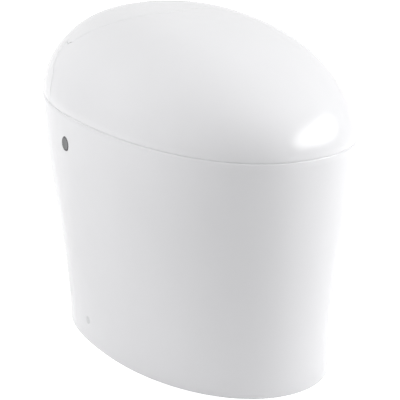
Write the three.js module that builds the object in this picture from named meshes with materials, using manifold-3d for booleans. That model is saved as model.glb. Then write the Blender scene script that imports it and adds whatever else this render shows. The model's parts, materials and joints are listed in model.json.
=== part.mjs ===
// Smart toilet with a smooth skirted ceramic base and a domed lid, in millimetres.
// +X is the right side seen from the front, -Y is the front, +Z is up, and the floor is z = 0.
// The origin is on the floor in the middle of the body's length and width.
import * as THREE from 'three';
import { mergeVertices } from 'three/addons/utils/BufferGeometryUtils.js';
import Module from 'manifold-3d';

const wasm = await Module();
wasm.setup();

// Driving dimensions of the whole body
const bodyLength = 670;
const bodyHalfWidth = 206.6;
const seamHeight = 399.8;
const domeHeight = 157.2;
const backY = bodyLength / 2;
const noseY = -bodyLength / 2;
const fitGap = 0.3;
const overrun = 40;
// How many flats each kind of round piece is made with, and the radii where the kinds change
const facets = { barrel: 64, large: 32, middle: 24, small: 16, turned: 14, tube: 10, hex: 6 };
const smallRadius = 7;
const middleRadius = 12;

// How the plan narrows from the seam down to the floor, and how it is rounded
const skin = {
  tailReach: 20, frontInset: 45.8, sideInset: 28.1, rearInset: 64,
  widestSeamY: 40.8, widestFloorY: 5.8, crestY: 36.8,
};
const frontTaperShares = [0.506, -0.692];
const sideTaperShares = [0.141, -1.6];
const rearTaperShares = [0.004, -0.181];
const planPowers = { frontSeam: 2.227, rearSeam: 2.235, frontFloor: 2.061, rearFloor: 2.392 };
const domePowers = {
  front: [2.762, 1.742], side: [2.879, 1.603], rear: [2.762, 1.806],
};
const finePoints = 44;
const coarsePoints = 24;
const fineDomeRings = 10;
const coarseDomeRings = 6;
const skirtShares = [0, 0.1, 0.22, 0.36, 0.52, 0.68, 0.84];
const hollowShares = [0, 0.22, 0.45, 0.68];
const rimRound = 5;
const rimRoundSteps = 3;

// Seams and walls of the plastic shells
const shell = { seamGap: 1.5, lidWall: 4, coverWall: 3.5, partingGap: 1.6 };
const lidHinge = {
  fromBack: 175, fromTop: 77, lobeRadius: 32, bossRadius: 17, shaftRadius: 6,
  bossFromSide: 55.6, shaftFromSide: 51.1,
};
const drum = { radius: 137, fromSide: 46.6, power: 2.9, steps: 16, sides: 48 };
// The parting line beside the barrel: its foot ahead of the hinge, its lean, and its top
const partingLine = { footAhead: 7, lean: 0.305, topBehind: 3, topAbove: 26 };
const coverFrontFromBack = 287.7;

// Ceramic base
const ceramic = {
  wall: 16, deck: 26, rimFront: 55, rimSide: 84.6, bowlFromBack: 355, bowlWall: 12, bowlDepth: 234.8,
  trapRadius: 36, trapBore: 27, roughIn: 305, trapEndZ: 20, trapStartBehind: 30, trapTopDepth: 109.8,
  wellHalfWidth: 82, wellFrontFromBack: 235, wellBackFromBack: 45,
  notchHalfWidth: 62, notchFromBack: 263, notchBackDepth: 19.8, notchFrontDepth: 69.8, notchReach: 40,
  notchWall: 11, sillDepth: 15.8,
  serviceHalfWidth: 72, serviceHeight: 235,
};
// Each row of the bowl: height share, width share, length share, backward shift in bowl lengths
const bowlShares = [
  [0, 0.15, 0.19, 0.1], [0.06, 0.3, 0.35, 0.1], [0.21, 0.46, 0.51, 0.07], [0.45, 0.72, 0.75, 0.03],
  [0.7, 0.9, 0.91, 0.01], [0.93, 0.99, 0.99, 0], [1, 1, 1, 0],
];
// Each point of the trapway's centre line: backward and upward shares of its run and rise
const trapShares = [[-1, 0.64], [-0.62, 0.72], [-0.25, 0.92], [-0.02, 0.9], [0, 0.55], [0, 0]];
const bowlPowers = { frontPower: 2.2, rearPower: 2.4 };
const trapSteps = 14;

// Seat ring
const seat = {
  inset: 12, crown: 9, lift: 7.2, thick: 17, lipSide: 10, lipEnd: 8, flare: 8,
  hingeFromBack: 308, hingeRise: 24, edgeAhead: 11, earInner: 70, earOuter: 88, earRadius: 9,
  earReach: 27, pinRadius: 4,
  bumperRadius: 9, bumperInset: 34, bumperFromBowlEnd: 10, bumperFromNose: 120,
};
// Each level of the seat's edge: height share and how much of the crown it is drawn in by
const seatLevelShares = [[0, 0.3], [0.25, 0], [0.62, 0.17], [0.88, 0.5], [1, 1]];
// Chassis plate under the rear cover
const chassis = {
  thick: 6.9, frontAhead: 13, edge: 3.5, lugThick: 14, lugGap: 0.5, slotAhead: 5,
  tongueThick: 3.3, tongueLength: 64.7,
};

// Bidet wand, sliding down and forward through a cradle
const wand = {
  x: 30, mouthFromBack: 279, mouthDepth: 1.8, radius: 7.5, length: 168, slopeDegrees: 22,
  tipLength: 12, tipRadius: 8, rackWidth: 6, rackStart: 26, rackBase: 1.2, toothHeight: 3,
  cradleWall: 3, cradleStart: 44, cradleEnd: 160, cradleGap: 0.6, footAlong: 115.2,
};
const gear = {
  teeth: 10, module: 1.5, width: 7, along: 34, footShare: 0.26, crestShare: 0.144, clearance: 0.45,
  boreRadius: 2,
};
const wandMotor = { radius: 14, length: 22, shaftRadius: 1.7, gap: 4 };

// Warm-air dryer
const dryer = {
  x: -36, fromBack: 197, radius: 34, rise: 47.2, wall: 2.5, halfWidth: 15, inletRadius: 16,
  wheelRadius: 27, wheelHub: 8, wheelHalfWidth: 9,
  bladeThick: 1.6, blades: 12, bladeInner: 16.7, bladeOuter: 26.2,
  motorRadius: 15, motorLength: 24, shaftRadius: 2.5,
  mouthHalfWidth: 17, mouthDepth: 13.8, mouthHeight: 15, mouthFromBack: 283,
  flapThick: 2, flapDrop: 13, pinRadius: 1,
};

// Water works hung under the chassis
const tank = { left: -76, right: 30, frontFromBack: 155, backFromBack: 51, depth: 147.8, round: 14 };
const pump = {
  x: -14, fromBack: 103, radius: 36, height: 74, motorRadius: 30, motorHeight: 68, motorNeckRadius: 18,
  portRadius: 12,
};
const feedPipe = { radius: 11, bore: 7.5, besideTank: 12, endReach: 40, endDepth: 54.8, steps: 12 };
// Each point of the feed pipe: shares of its way from the pump's port to the bowl in X, Y and Z
const feedShares = [
  [0, 0, 0], [0.35, 0, 0], [1, 0.07, 0.07], [1, 0.23, 0.6], [1, 0.42, 0.96], [1, 0.7, 1], [1, 1, 1],
];
const inletValve = {
  left: 38, right: 76, frontFromBack: 95, backFromBack: 53, height: 46,
  stubRadius: 10.4, stubLength: 38, bore: 6.5,
  threads: 4, threadLength: 22.8, threadDepth: 1, collar: 2.6, collarLength: 13.7,
};
// Each thread: share of the pitch at the end of its crest and at its root
const threadShares = [0.4, 0.7];
const powerGland = {
  x: 57, fromBack: 130, radius: 11, bore: 4.2, tipRadius: 6.8, neckRadius: 8.3, length: 26, nutHeight: 9,
};

// Pieces that stand on the chassis under the cover
const heater = { left: 20, right: 92, frontFromBack: 115, backFromBack: 35, height: 44, domeRadius: 15 };
const board = {
  left: -100, right: -14, frontFromBack: 130, backFromBack: 39, baseHeight: 12, thick: 1.8,
  chipHeight: 9, chipWidth: 13.8, chipLength: 17.2, canRadius: 5.7,
};
const boardShares = [0.15, 0.45, 0.72];
const filter = {
  left: 78, right: 116, frontFromBack: 151, backFromBack: 130, height: 34, ribs: 4, ribDepth: 2.5,
};
const hingeDrive = {
  inner: 84, endGap: 30, half: 21, socket: 25, bracketHalf: 18, neck: 3,
};
// Where the bracket's two sides lie along the drive that it carries
const bracketShares = [0.05, 0.45];

// Flush button on the left flank
const button = {
  fromBack: 252, depth: 49.8, radius: 11.5, ring: 2.2, cap: 7, stroke: 3, proud: 0.8, ringDepth: 10,
  switchRadius: 9, switchLength: 18, gap: 0.4, stemRadius: 3.5, socketWall: 3,
};

// Side fixing to the floor
const fixing = {
  fromBack: 263, z: 38, capRadius: 6, capDepth: 4, capProud: 0.6,
  screwRadius: 3, screwLength: 34, headRadius: 5,
  bracketHeight: 58, bracketWidth: 44, bracketThick: 5, footLength: 46, floorScrewRadius: 4,
  floorHeadRadius: 7.5, floorHeadHeight: 5, bracketGap: 8,
};
const outletSeal = { outer: 52, inner: 29, bevel: 5 };
const sensor = { radius: 9, thick: 3, aboveHinge: 20, flange: 2 };

// Small shelves inside the lid that carry its bumpers over the seat
const lidBumper = { radius: 7, fromSide: 78.6, behindBowl: 30, shelfHalf: 11, shelfThick: 4, height: 9 };

// Places that follow the body's length, width and height
lidHinge.y = backY - lidHinge.fromBack;
lidHinge.z = seamHeight + domeHeight - lidHinge.fromTop;
lidHinge.bossStart = bodyHalfWidth - lidHinge.bossFromSide;
lidHinge.shaftEnd = bodyHalfWidth - lidHinge.shaftFromSide;
drum.halfLength = bodyHalfWidth - drum.fromSide;
partingLine.bottomY = lidHinge.y - partingLine.footAhead;
partingLine.topY = lidHinge.y + partingLine.topBehind;
partingLine.topZ = lidHinge.z + partingLine.topAbove;
const coverFrontY = backY - coverFrontFromBack;
const bowl = { frontY: noseY + ceramic.rimFront, rearY: backY - ceramic.bowlFromBack };
bowl.y = (bowl.frontY + bowl.rearY) / 2;
bowl.halfLength = (bowl.rearY - bowl.frontY) / 2;
bowl.halfWidth = bodyHalfWidth - ceramic.rimSide;
bowl.floorZ = seamHeight - ceramic.bowlDepth;
const trap = { endY: backY - ceramic.roughIn };
trap.run = trap.endY - bowl.y - ceramic.trapStartBehind;
trap.rise = seamHeight - ceramic.trapTopDepth - ceramic.trapEndZ;
const well = { frontY: backY - ceramic.wellFrontFromBack, backY: backY - ceramic.wellBackFromBack };
const notch = {
  frontY: bowl.rearY - ceramic.notchReach, backY: backY - ceramic.notchFromBack,
  frontZ: seamHeight - ceramic.notchFrontDepth, backZ: seamHeight - ceramic.notchBackDepth,
  sillZ: seamHeight - ceramic.sillDepth,
};
seat.bottomZ = seamHeight + seat.lift;
seat.topZ = seat.bottomZ + seat.thick;
seat.hingeY = backY - seat.hingeFromBack;
seat.hingeZ = seat.bottomZ + seat.hingeRise;
seat.backY = seat.hingeY - seat.edgeAhead;
seat.holeHalfWidth = bowl.halfWidth - seat.lipSide;
seat.holeHalfLength = bowl.halfLength - seat.lipEnd;
seat.bumperRearY = bowl.rearY - seat.bumperFromBowlEnd;
seat.bumperFrontY = noseY + seat.bumperFromNose;
chassis.bottomZ = seamHeight + fitGap;
chassis.topZ = chassis.bottomZ + chassis.thick;
chassis.tongueTopZ = chassis.bottomZ + chassis.tongueThick;
chassis.frontY = seat.hingeY - chassis.frontAhead;
chassis.frontHalfWidth = seat.earOuter + chassis.lugGap + chassis.lugThick + chassis.edge;
chassis.tongueBackY = coverFrontY + chassis.tongueLength;
wand.mouthY = backY - wand.mouthFromBack;
wand.mouthZ = seamHeight - wand.mouthDepth;
dryer.y = backY - dryer.fromBack;
dryer.z = seamHeight + dryer.rise;
dryer.mouthY = backY - dryer.mouthFromBack;
dryer.mouthBottomZ = seamHeight - dryer.mouthDepth;
dryer.mouthTopZ = dryer.mouthBottomZ + dryer.mouthHeight;
chassis.slotBackY = dryer.y - chassis.slotAhead;
tank.bottomZ = seamHeight - tank.depth;
pump.y = backY - pump.fromBack;
feedPipe.endX = tank.left - feedPipe.besideTank;
feedPipe.endY = bowl.rearY - feedPipe.endReach;
feedPipe.endZ = seamHeight - feedPipe.endDepth;
powerGland.y = backY - powerGland.fromBack;
for (const unit of [tank, inletValve, heater, board, filter]) {
  unit.frontY = backY - unit.frontFromBack;
  unit.backY = backY - unit.backFromBack;
}
hingeDrive.outer = drum.halfLength - hingeDrive.endGap;
[hingeDrive.bracketInner, hingeDrive.bracketOuter] = bracketShares.map(
  (share) => hingeDrive.inner + (hingeDrive.outer - hingeDrive.inner) * share);
button.y = backY - button.fromBack;
button.z = seamHeight - button.depth;
fixing.y = backY - fixing.fromBack;
sensor.z = lidHinge.z + sensor.aboveHinge;
lidBumper.inner = bodyHalfWidth - lidBumper.fromSide;
lidBumper.y = bowl.y + lidBumper.behindBowl;

// Colours and finishes
const finish = {
  ceramic: [0xf4f5f6, 0.12, 0], gloss: [0xf3f4f5, 0.2, 0], white: [0xe8e9ea, 0.5, 0],
  rubber: [0xb9bbbd, 0.85, 0], steel: [0xb8babd, 0.3, 1], dark: [0x3a3c40, 0.5, 0],
  smoke: [0x55585c, 0.15, 0], green: [0x2f6b45, 0.6, 0], grey: [0x828588, 0.45, 0],
  chrome: [0x7d7e81, 0.2, 1],
};

const model = new THREE.Group();

function makeMaterial(kind) {
  const [color, roughness, metalness] = finish[kind];
  return new THREE.MeshStandardMaterial({ color, roughness, metalness });
}

// Turn a closed geometry into a solid for joining and cutting
function solid(geometry) {
  const bare = geometry.index ? geometry.toNonIndexed() : geometry;
  bare.deleteAttribute('normal');
  bare.deleteAttribute('uv');
  const merged = mergeVertices(bare);
  return new wasm.Manifold(new wasm.Mesh({
    numProp: 3,
    vertProperties: new Float32Array(merged.attributes.position.array),
    triVerts: new Uint32Array(merged.index.array),
  }));
}

function addPiece(name, body, kind) {
  const mesh = body.getMesh();
  const geometry = new THREE.BufferGeometry();
  geometry.setAttribute('position', new THREE.BufferAttribute(mesh.vertProperties, 3));
  geometry.setIndex(new THREE.BufferAttribute(mesh.triVerts, 1));
  geometry.computeVertexNormals();
  const piece = new THREE.Mesh(geometry, makeMaterial(kind));
  piece.name = name;
  model.add(piece);
}

function box(x0, x1, y0, y1, z0, z1) {
  const geometry = new THREE.BoxGeometry(x1 - x0, y1 - y0, z1 - z0);
  geometry.translate((x0 + x1) / 2, (y0 + y1) / 2, (z0 + z1) / 2);
  return solid(geometry);
}

function flatsFor(radius) {
  if (radius < smallRadius) return facets.small;
  return radius < middleRadius ? facets.middle : facets.large;
}

// A round rod along one axis from one end to the other; a and b are its place on the other two axes
function rod(axis, radius, from, to, a, b, flats = flatsFor(radius)) {
  const geometry = new THREE.CylinderGeometry(radius, radius, to - from, flats);
  const middle = (from + to) / 2;
  if (axis === 'x') {
    geometry.rotateZ(-Math.PI / 2);
    geometry.translate(middle, a, b);
  } else if (axis === 'y') {
    geometry.translate(a, middle, b);
  } else {
    geometry.rotateX(Math.PI / 2);
    geometry.translate(a, b, middle);
  }
  return solid(geometry);
}

// An outline in Y and Z, drawn out along X
function prism(points, x0, x1) {
  const outline = new THREE.Shape(points.map(([y, z]) => new THREE.Vector2(y, z)));
  const geometry = new THREE.ExtrudeGeometry(outline, { depth: x1 - x0, bevelEnabled: false });
  const turn = new THREE.Matrix4().makeBasis(
    new THREE.Vector3(0, 1, 0), new THREE.Vector3(0, 0, 1), new THREE.Vector3(1, 0, 0));
  geometry.applyMatrix4(turn);
  geometry.translate(x0, 0, 0);
  return solid(geometry);
}

// A turned body about the X axis through a point; the profile lists radius and x
function turnedX(profile, y, z, sides) {
  const geometry = new THREE.LatheGeometry(profile.map(([r, x]) => new THREE.Vector2(r, x)), sides);
  geometry.rotateZ(-Math.PI / 2);
  geometry.translate(0, y, z);
  return solid(geometry);
}

// A turned body about the Z axis through a point; the profile lists radius and z, lowest first
function turnedZ(profile, x, y, sides) {
  const geometry = new THREE.LatheGeometry(profile.map(([r, z]) => new THREE.Vector2(r, z)), sides);
  geometry.rotateX(Math.PI / 2);
  geometry.translate(x, y, 0);
  return solid(geometry);
}

function tube(points, radius, sides, steps) {
  const outline = new THREE.Shape();
  outline.absarc(0, 0, radius, 0, Math.PI * 2, false);
  const path = new THREE.CatmullRomCurve3(points.map((p) => new THREE.Vector3(...p)), false, 'centripetal');
  return solid(new THREE.ExtrudeGeometry(outline, {
    extrudePath: path, steps, curveSegments: sides / 2, bevelEnabled: false,
  }));
}

// A body through closed rings of equal point count, lowest first, with a flat or pointed end at each side
function loft(rings, topPoint = null) {
  const count = rings[0].length;
  const flat = rings.flat(2);
  const middle = (ring) => [0, 1, 2].map((i) => ring.reduce((sum, p) => sum + p[i], 0) / count);
  const low = rings.length * count;
  flat.push(...middle(rings[0]), ...(topPoint ?? middle(rings.at(-1))));
  const index = [];
  for (let i = 0; i < count; i += 1) {
    const next = (i + 1) % count;
    const last = (rings.length - 1) * count;
    index.push(low, next, i, low + 1, last + i, last + next);
    for (let row = 0; row < rings.length - 1; row += 1) {
      const a = row * count;
      const b = a + count;
      index.push(a + i, a + next, b + next, a + i, b + next, b + i);
    }
  }
  const geometry = new THREE.BufferGeometry();
  geometry.setAttribute('position', new THREE.BufferAttribute(new Float32Array(flat), 3));
  geometry.setIndex(index);
  return solid(geometry);
}

const mix = (a, b, share) => a + (b - a) * share;
const signedPower = (value, power) => Math.sign(value) * Math.abs(value) ** power;

// One point of a rounded plan: its own power and reach in front of and behind its widest place
function planPoint(turn, plan) {
  const c = Math.cos(turn);
  const s = Math.sin(turn);
  const front = s < 0;
  const power = 2 / (front ? plan.frontPower : plan.rearPower);
  const reach = front ? plan.centreY - plan.frontY : plan.rearY - plan.centreY;
  return [plan.half * signedPower(c, power), plan.centreY + reach * signedPower(s, power)];
}

// How far the plan has drawn in at a depth share below the seam
function taper(depth, [bend, sway]) {
  return depth + bend * depth * (1 - depth) + sway * depth * (1 - depth) * (1 - 2 * depth);
}

// The plan of the outer skin at a share of the seam's height, drawn in by an inset
function skinPlan(share, inset) {
  const depth = 1 - share;
  return {
    frontY: noseY + skin.frontInset * taper(depth, frontTaperShares) + inset,
    rearY: backY + skin.tailReach - skin.rearInset * taper(depth, rearTaperShares) - inset,
    half: bodyHalfWidth - skin.sideInset * taper(depth, sideTaperShares) - inset,
    centreY: mix(skin.widestFloorY, skin.widestSeamY, share),
    frontPower: mix(planPowers.frontFloor, planPowers.frontSeam, share),
    rearPower: mix(planPowers.rearFloor, planPowers.rearSeam, share),
  };
}

const turnsOf = (count) => Array.from({ length: count }, (_, i) => (2 * Math.PI * i) / count);
const fineTurns = turnsOf(finePoints);
const coarseTurns = turnsOf(coarsePoints);

function skinRing(share, inset, z = share * seamHeight) {
  const plan = skinPlan(share, inset);
  const turns = inset > rimRound ? coarseTurns : fineTurns;
  return turns.map((turn) => [...planPoint(turn, plan), z]);
}

// The solid dome over the seam, drawn in by an inset, with a straight foot that reaches below the seam
function domeSolid(inset) {
  const plan = skinPlan(1, inset);
  const height = domeHeight - inset;
  const turns = inset > 0 ? coarseTurns : fineTurns;
  const rows = inset > 0 ? coarseDomeRings : fineDomeRings;
  const footRing = turns.map((turn) => planPoint(turn, plan));
  const rings = [seamHeight - overrun, seamHeight].map((z) => footRing.map(([x, y]) => [x, y, z]));
  for (let row = 1; row < rows; row += 1) {
    const spread = Math.cos((Math.PI / 2) * (row / rows));
    const centre = plan.centreY + (skin.crestY - plan.centreY) * (1 - spread * spread);
    rings.push(turns.map((turn) => {
      const [x, y] = planPoint(turn, plan);
      const along = Math.sin(turn) ** 2;
      const end = Math.sin(turn) < 0 ? domePowers.front : domePowers.rear;
      const [p, q] = [0, 1].map((i) => mix(domePowers.side[i], end[i], along));
      const lift = (1 - spread ** p) ** (1 / q);
      return [spread * x, centre + spread * (y - plan.centreY), seamHeight + height * lift];
    }));
  }
  return loft(rings, [0, skin.crestY, seamHeight + height]);
}

// Half the width of the skin at a height share and a place along Y
function skinHalfWidth(share, y) {
  const plan = skinPlan(share, 0);
  const front = y < plan.centreY;
  const reach = front ? plan.centreY - plan.frontY : plan.rearY - plan.centreY;
  const power = front ? plan.frontPower : plan.rearPower;
  return plan.half * (1 - (Math.abs(y - plan.centreY) / reach) ** power) ** (1 / power);
}

// The round barrel about the lid's hinge that parts the fixed cover from the lid
function drumSolid(grow) {
  const profile = [[0, -drum.halfLength - grow]];
  for (let i = 1; i < drum.steps; i += 1) {
    const x = -Math.cos((Math.PI * i) / drum.steps) * drum.halfLength;
    const radius = drum.radius * (1 - (Math.abs(x) / drum.halfLength) ** drum.power);
    profile.push([radius + grow, x]);
  }
  profile.push([0, drum.halfLength + grow]);
  return turnedX(profile, lidHinge.y, lidHinge.z, drum.sides);
}

// Everything on the lid's side of the parting line, grown towards the cover by a gap
function lidZone(grow) {
  const lowZ = seamHeight - overrun;
  const highZ = seamHeight + domeHeight + overrun;
  const edgeY = (z) => partingLine.bottomY + (z - seamHeight) * partingLine.lean + grow;
  const side = prism([
    [noseY - overrun, lowZ], [edgeY(lowZ), lowZ], [edgeY(lidHinge.z), lidHinge.z],
    [partingLine.topY + grow, partingLine.topZ], [partingLine.topY + grow, highZ], [noseY - overrun, highZ],
  ], -bodyHalfWidth - overrun, bodyHalfWidth + overrun);
  const lobe = rod('x', lidHinge.lobeRadius + grow, -bodyHalfWidth - overrun, bodyHalfWidth + overrun,
    lidHinge.y, lidHinge.z, facets.barrel);
  return side.add(lobe).subtract(drumSolid(-grow));
}

const wide = bodyHalfWidth + overrun;
const outerDome = domeSolid(0);
const aboveSeam = box(-wide, wide, noseY - overrun, backY, seamHeight + shell.seamGap,
  seamHeight + domeHeight + overrun);

function makeLid() {
  const hollow = domeSolid(shell.lidWall);
  const skinPart = outerDome.subtract(hollow).intersect(aboveSeam);
  const bossInside = domeSolid(shell.lidWall / 2);
  let lid = skinPart;
  for (const side of [-1, 1]) {
    const ends = [side * lidHinge.bossStart, side * wide].sort((a, b) => a - b);
    const boss = rod('x', lidHinge.bossRadius, ...ends, lidHinge.y, lidHinge.z);
    lid = lid.add(boss.intersect(bossInside));
  }
  lid = lid.intersect(lidZone(0).add(sideBosses(0)));
  lid = lid.add(lidShelves(bossInside));
  for (const side of [-1, 1]) {
    const ends = [0, side * (lidHinge.shaftEnd + fitGap)].sort((a, b) => a - b);
    lid = lid.subtract(rod('x', lidHinge.shaftRadius + fitGap, ...ends, lidHinge.y, lidHinge.z));
  }
  return lid;
}

// The round hinge bosses on the lid's arms, kept whole where the barrel would trim them
function sideBosses(grow) {
  const one = (side) => {
    const ends = [side * (lidHinge.bossStart - grow), side * wide].sort((a, b) => a - b);
    return rod('x', lidHinge.bossRadius + grow, ...ends, lidHinge.y, lidHinge.z);
  };
  return one(-1).add(one(1));
}

// The shelves in the lid for its two bumpers
function lidShelves(inside) {
  const low = seat.topZ + lidBumper.height;
  const one = (x0, x1) => box(x0, x1, lidBumper.y - lidBumper.shelfHalf, lidBumper.y + lidBumper.shelfHalf,
    low, low + lidBumper.shelfThick).intersect(inside);
  const reach = lidBumper.inner - lidBumper.shelfHalf;
  return one(-wide, -reach).add(one(reach, wide));
}

function coverRegion(inset, gap) {
  const y1 = backY - inset;
  const low = inset ? seamHeight - overrun : seamHeight + shell.seamGap;
  const limits = box(-wide, wide, coverFrontY + inset, y1, low, seamHeight + domeHeight + overrun);
  const dome = inset ? domeSolid(inset) : outerDome;
  return dome.intersect(limits).subtract(lidZone(gap + inset));
}

// Half the width of the tongue that joins the chassis under the cover's front wall
const tongueHalf = chassis.frontHalfWidth - chassis.lugThick;

const mouth = {
  left: dryer.x - dryer.mouthHalfWidth - 4 * fitGap,
  right: wand.x + wand.radius + wand.cradleGap + wand.cradleWall + 2 * fitGap,
};

function makeCover() {
  const inside = coverRegion(shell.coverWall, shell.partingGap);
  const shellPart = coverRegion(0, shell.partingGap).subtract(inside);
  const spout = box(mouth.left, mouth.right, coverFrontY - overrun, coverFrontY + 6 * shell.coverWall,
    seamHeight, chassis.topZ + wand.radius);
  const slot = box(-tongueHalf - fitGap, tongueHalf + fitGap, coverFrontY - overrun,
    chassis.tongueBackY + fitGap, seamHeight, chassis.tongueTopZ + fitGap);
  const eyeEnd = coverFrontY + shell.coverWall + fitGap;
  const eye = rod('y', sensor.radius + fitGap, coverFrontY - overrun, eyeEnd, 0, sensor.z);
  const axle = rod('x', lidHinge.shaftRadius + fitGap, -lidHinge.bossStart, lidHinge.bossStart,
    lidHinge.y, lidHinge.z);
  const room = sideBosses(shell.partingGap);
  return shellPart.subtract(spout).subtract(slot).subtract(eye).subtract(axle).subtract(room);
}

function bowlRing([height, width, length, shift], grow) {
  const z = mix(bowl.floorZ, seamHeight, height);
  const plan = {
    half: bowl.halfWidth * width + grow,
    centreY: bowl.y + bowl.halfLength * shift,
    ...bowlPowers,
  };
  plan.frontY = plan.centreY - bowl.halfLength * length - grow;
  plan.rearY = plan.centreY + bowl.halfLength * length + grow;
  return coarseTurns.map((turn) => [...planPoint(turn, plan), z]);
}

function bowlSolid(grow, topZ) {
  const rings = bowlShares.map((row) => bowlRing(row, grow));
  const floor = rings[0].map(([x, y, z]) => [x, y, z - grow]);
  if (grow) rings.unshift(floor);
  rings.push(rings.at(-1).map(([x, y]) => [x, y, topZ]));
  return loft(rings);
}

// The trapway's tube from the bowl over the weir and down to its end, which a reach can lower
function trapTube(radius, reach) {
  const points = trapShares.map(([along, up]) => [
    0, trap.endY + along * trap.run, ceramic.trapEndZ + up * trap.rise,
  ]);
  points.at(-1)[2] -= reach;
  return tube(points, radius, facets.tube, trapSteps);
}

// The channel behind the bowl through which the wand and the dryer reach it
function notchPrism(grow, topZ) {
  const half = ceramic.notchHalfWidth + grow;
  return prism([
    [notch.frontY, topZ], [notch.frontY, notch.frontZ - grow],
    [notch.backY + grow, notch.backZ - grow], [notch.backY + grow, topZ],
  ], -half, half);
}

function makeCeramic() {
  const c = ceramic;
  const rings = skirtShares.map((share) => skinRing(share, 0));
  for (let i = 0; i <= rimRoundSteps; i += 1) {
    const bend = (Math.PI / 2) * (i / rimRoundSteps);
    const z = seamHeight - rimRound * (1 - Math.sin(bend));
    rings.push(skinRing(z / seamHeight, rimRound * (1 - Math.cos(bend)), z));
  }
  const limits = box(-wide, wide, noseY - overrun, backY, 0, seamHeight);
  const outside = loft(rings).intersect(limits);
  const hollowTop = seamHeight - c.deck;
  const hollowRings = [
    skinRing(0, c.wall, -overrun), ...hollowShares.map((share) => skinRing(share, c.wall)),
    skinRing(hollowTop / seamHeight, c.wall, hollowTop),
  ];
  const hollowLimits = box(-wide, wide, noseY, backY - c.wall, -overrun, hollowTop);
  const hollow = loft(hollowRings).intersect(hollowLimits);
  const middle = seamHeight - c.deck / 2;
  let body = outside.subtract(hollow);
  body = body.add(bowlSolid(c.bowlWall, middle));
  body = body.add(trapTube(c.trapRadius, 0));
  body = body.add(notchPrism(c.notchWall, middle));
  body = body.subtract(bowlSolid(0, seamHeight + overrun));
  body = body.subtract(trapTube(c.trapBore, c.wall));
  body = body.subtract(notchPrism(0, seamHeight + overrun));
  body = body.subtract(box(-c.wellHalfWidth, c.wellHalfWidth, well.frontY, well.backY, hollowTop - fitGap,
    seamHeight + overrun));
  body = body.subtract(box(-c.notchHalfWidth, c.notchHalfWidth, notch.frontY, well.backY, notch.sillZ,
    seamHeight + overrun));
  body = body.subtract(serviceOpening());
  for (const side of [-1, 1]) {
    const ends = [0, side * wide].sort((a, b) => a - b);
    body = body.subtract(rod('x', fixing.capRadius + fitGap, ...ends, fixing.y, fixing.z));
  }
  const hole = button.radius + button.ring + fitGap;
  return body.subtract(rod('x', hole, -wide, -bodyHalfWidth / 2, button.y, button.z));
}

// The arched opening low in the back for the supply
function serviceOpening() {
  const { serviceHalfWidth: half, serviceHeight: height } = ceramic;
  const straight = height - half;
  const slot = box(-half, half, backY / 2 + half, backY + overrun, -overrun, straight);
  return slot.add(rod('y', half, backY / 2 + half, backY + overrun, 0, straight));
}

function makeSeat() {
  const outside = loft(seatLevelShares.map(([up, drawn]) => skinRing(
    1, seat.inset + drawn * seat.crown, mix(seat.bottomZ, seat.topZ, up))));
  const holeRing = (z, grow) => coarseTurns.map((turn) => [...planPoint(turn, {
    half: seat.holeHalfWidth + grow, centreY: bowl.y,
    frontY: bowl.y - seat.holeHalfLength - grow, rearY: bowl.y + seat.holeHalfLength + grow,
    ...bowlPowers,
  }), z]);
  const middleZ = (seat.bottomZ + seat.topZ) / 2;
  const hole = loft([
    holeRing(seat.bottomZ - overrun, 0), holeRing(middleZ, 0), holeRing(seat.topZ, seat.flare),
    holeRing(seat.topZ + overrun, seat.flare),
  ]);
  const keep = box(-wide, wide, noseY - overrun, seat.backY, 0, seamHeight + domeHeight);
  let ring = outside.subtract(hole).intersect(keep);
  for (const side of [-1, 1]) {
    const ends = [side * seat.earInner, side * seat.earOuter].sort((a, b) => a - b);
    const barrel = rod('x', seat.earRadius, ...ends, seat.hingeY, seat.hingeZ);
    const foot = box(...ends, seat.hingeY - seat.earReach, seat.hingeY,
      seat.topZ - seat.crown, seat.hingeZ);
    ring = ring.add(barrel).add(foot);
    ring = ring.subtract(rod('x', seat.pinRadius + fitGap, ends[0] - overrun, ends[1] + overrun,
      seat.hingeY, seat.hingeZ));
  }
  return ring;
}

// The plate that carries the works, with lugs for the seat's hinge pins
function makeChassis() {
  const inset = shell.coverWall + 2 * fitGap;
  const slab = box(-wide, wide, coverFrontY - overrun, backY, chassis.bottomZ, chassis.topZ);
  const back = coverRegion(inset, shell.partingGap).intersect(slab);
  let plate = back.add(box(-chassis.frontHalfWidth, chassis.frontHalfWidth, chassis.frontY,
    coverFrontY - fitGap, chassis.bottomZ, chassis.tongueTopZ));
  plate = plate.add(box(-tongueHalf, tongueHalf, chassis.frontY, chassis.tongueBackY,
    chassis.bottomZ, chassis.tongueTopZ));
  plate = plate.subtract(box(mouth.left - fitGap, mouth.right + fitGap, chassis.frontY - overrun,
    chassis.slotBackY, 0, seamHeight + overrun));
  for (const side of [-1, 1]) {
    const innerLug = seat.earInner - chassis.lugGap - chassis.lugThick;
    for (const start of [innerLug, seat.earOuter + chassis.lugGap]) {
      const ends = [side * start, side * (start + chassis.lugThick)].sort((a, b) => a - b);
      const lug = rod('x', seat.earRadius, ...ends, seat.hingeY, seat.hingeZ)
        .add(box(...ends, seat.hingeY - seat.earRadius, seat.hingeY + seat.earRadius,
          chassis.bottomZ, seat.hingeZ));
      plate = plate.add(lug);
    }
    const ends = [side * (seat.earInner - overrun), side * (seat.earOuter + overrun)].sort((a, b) => a - b);
    plate = plate.subtract(rod('x', seat.pinRadius + fitGap, ...ends, seat.hingeY, seat.hingeZ));
  }
  return plate;
}

// Turn a piece built along the Y axis at the origin down the wand's slope at its mouth
function alongWand(body) {
  return body.rotate([wand.slopeDegrees, 0, 0]).translate([wand.x, wand.mouthY, wand.mouthZ]);
}

const gearRadius = (gear.teeth * gear.module) / 2;
const toothPitch = Math.PI * gear.module;
const gearHeight = wand.radius + wand.rackBase + wand.toothHeight / 2 + gearRadius;

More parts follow.
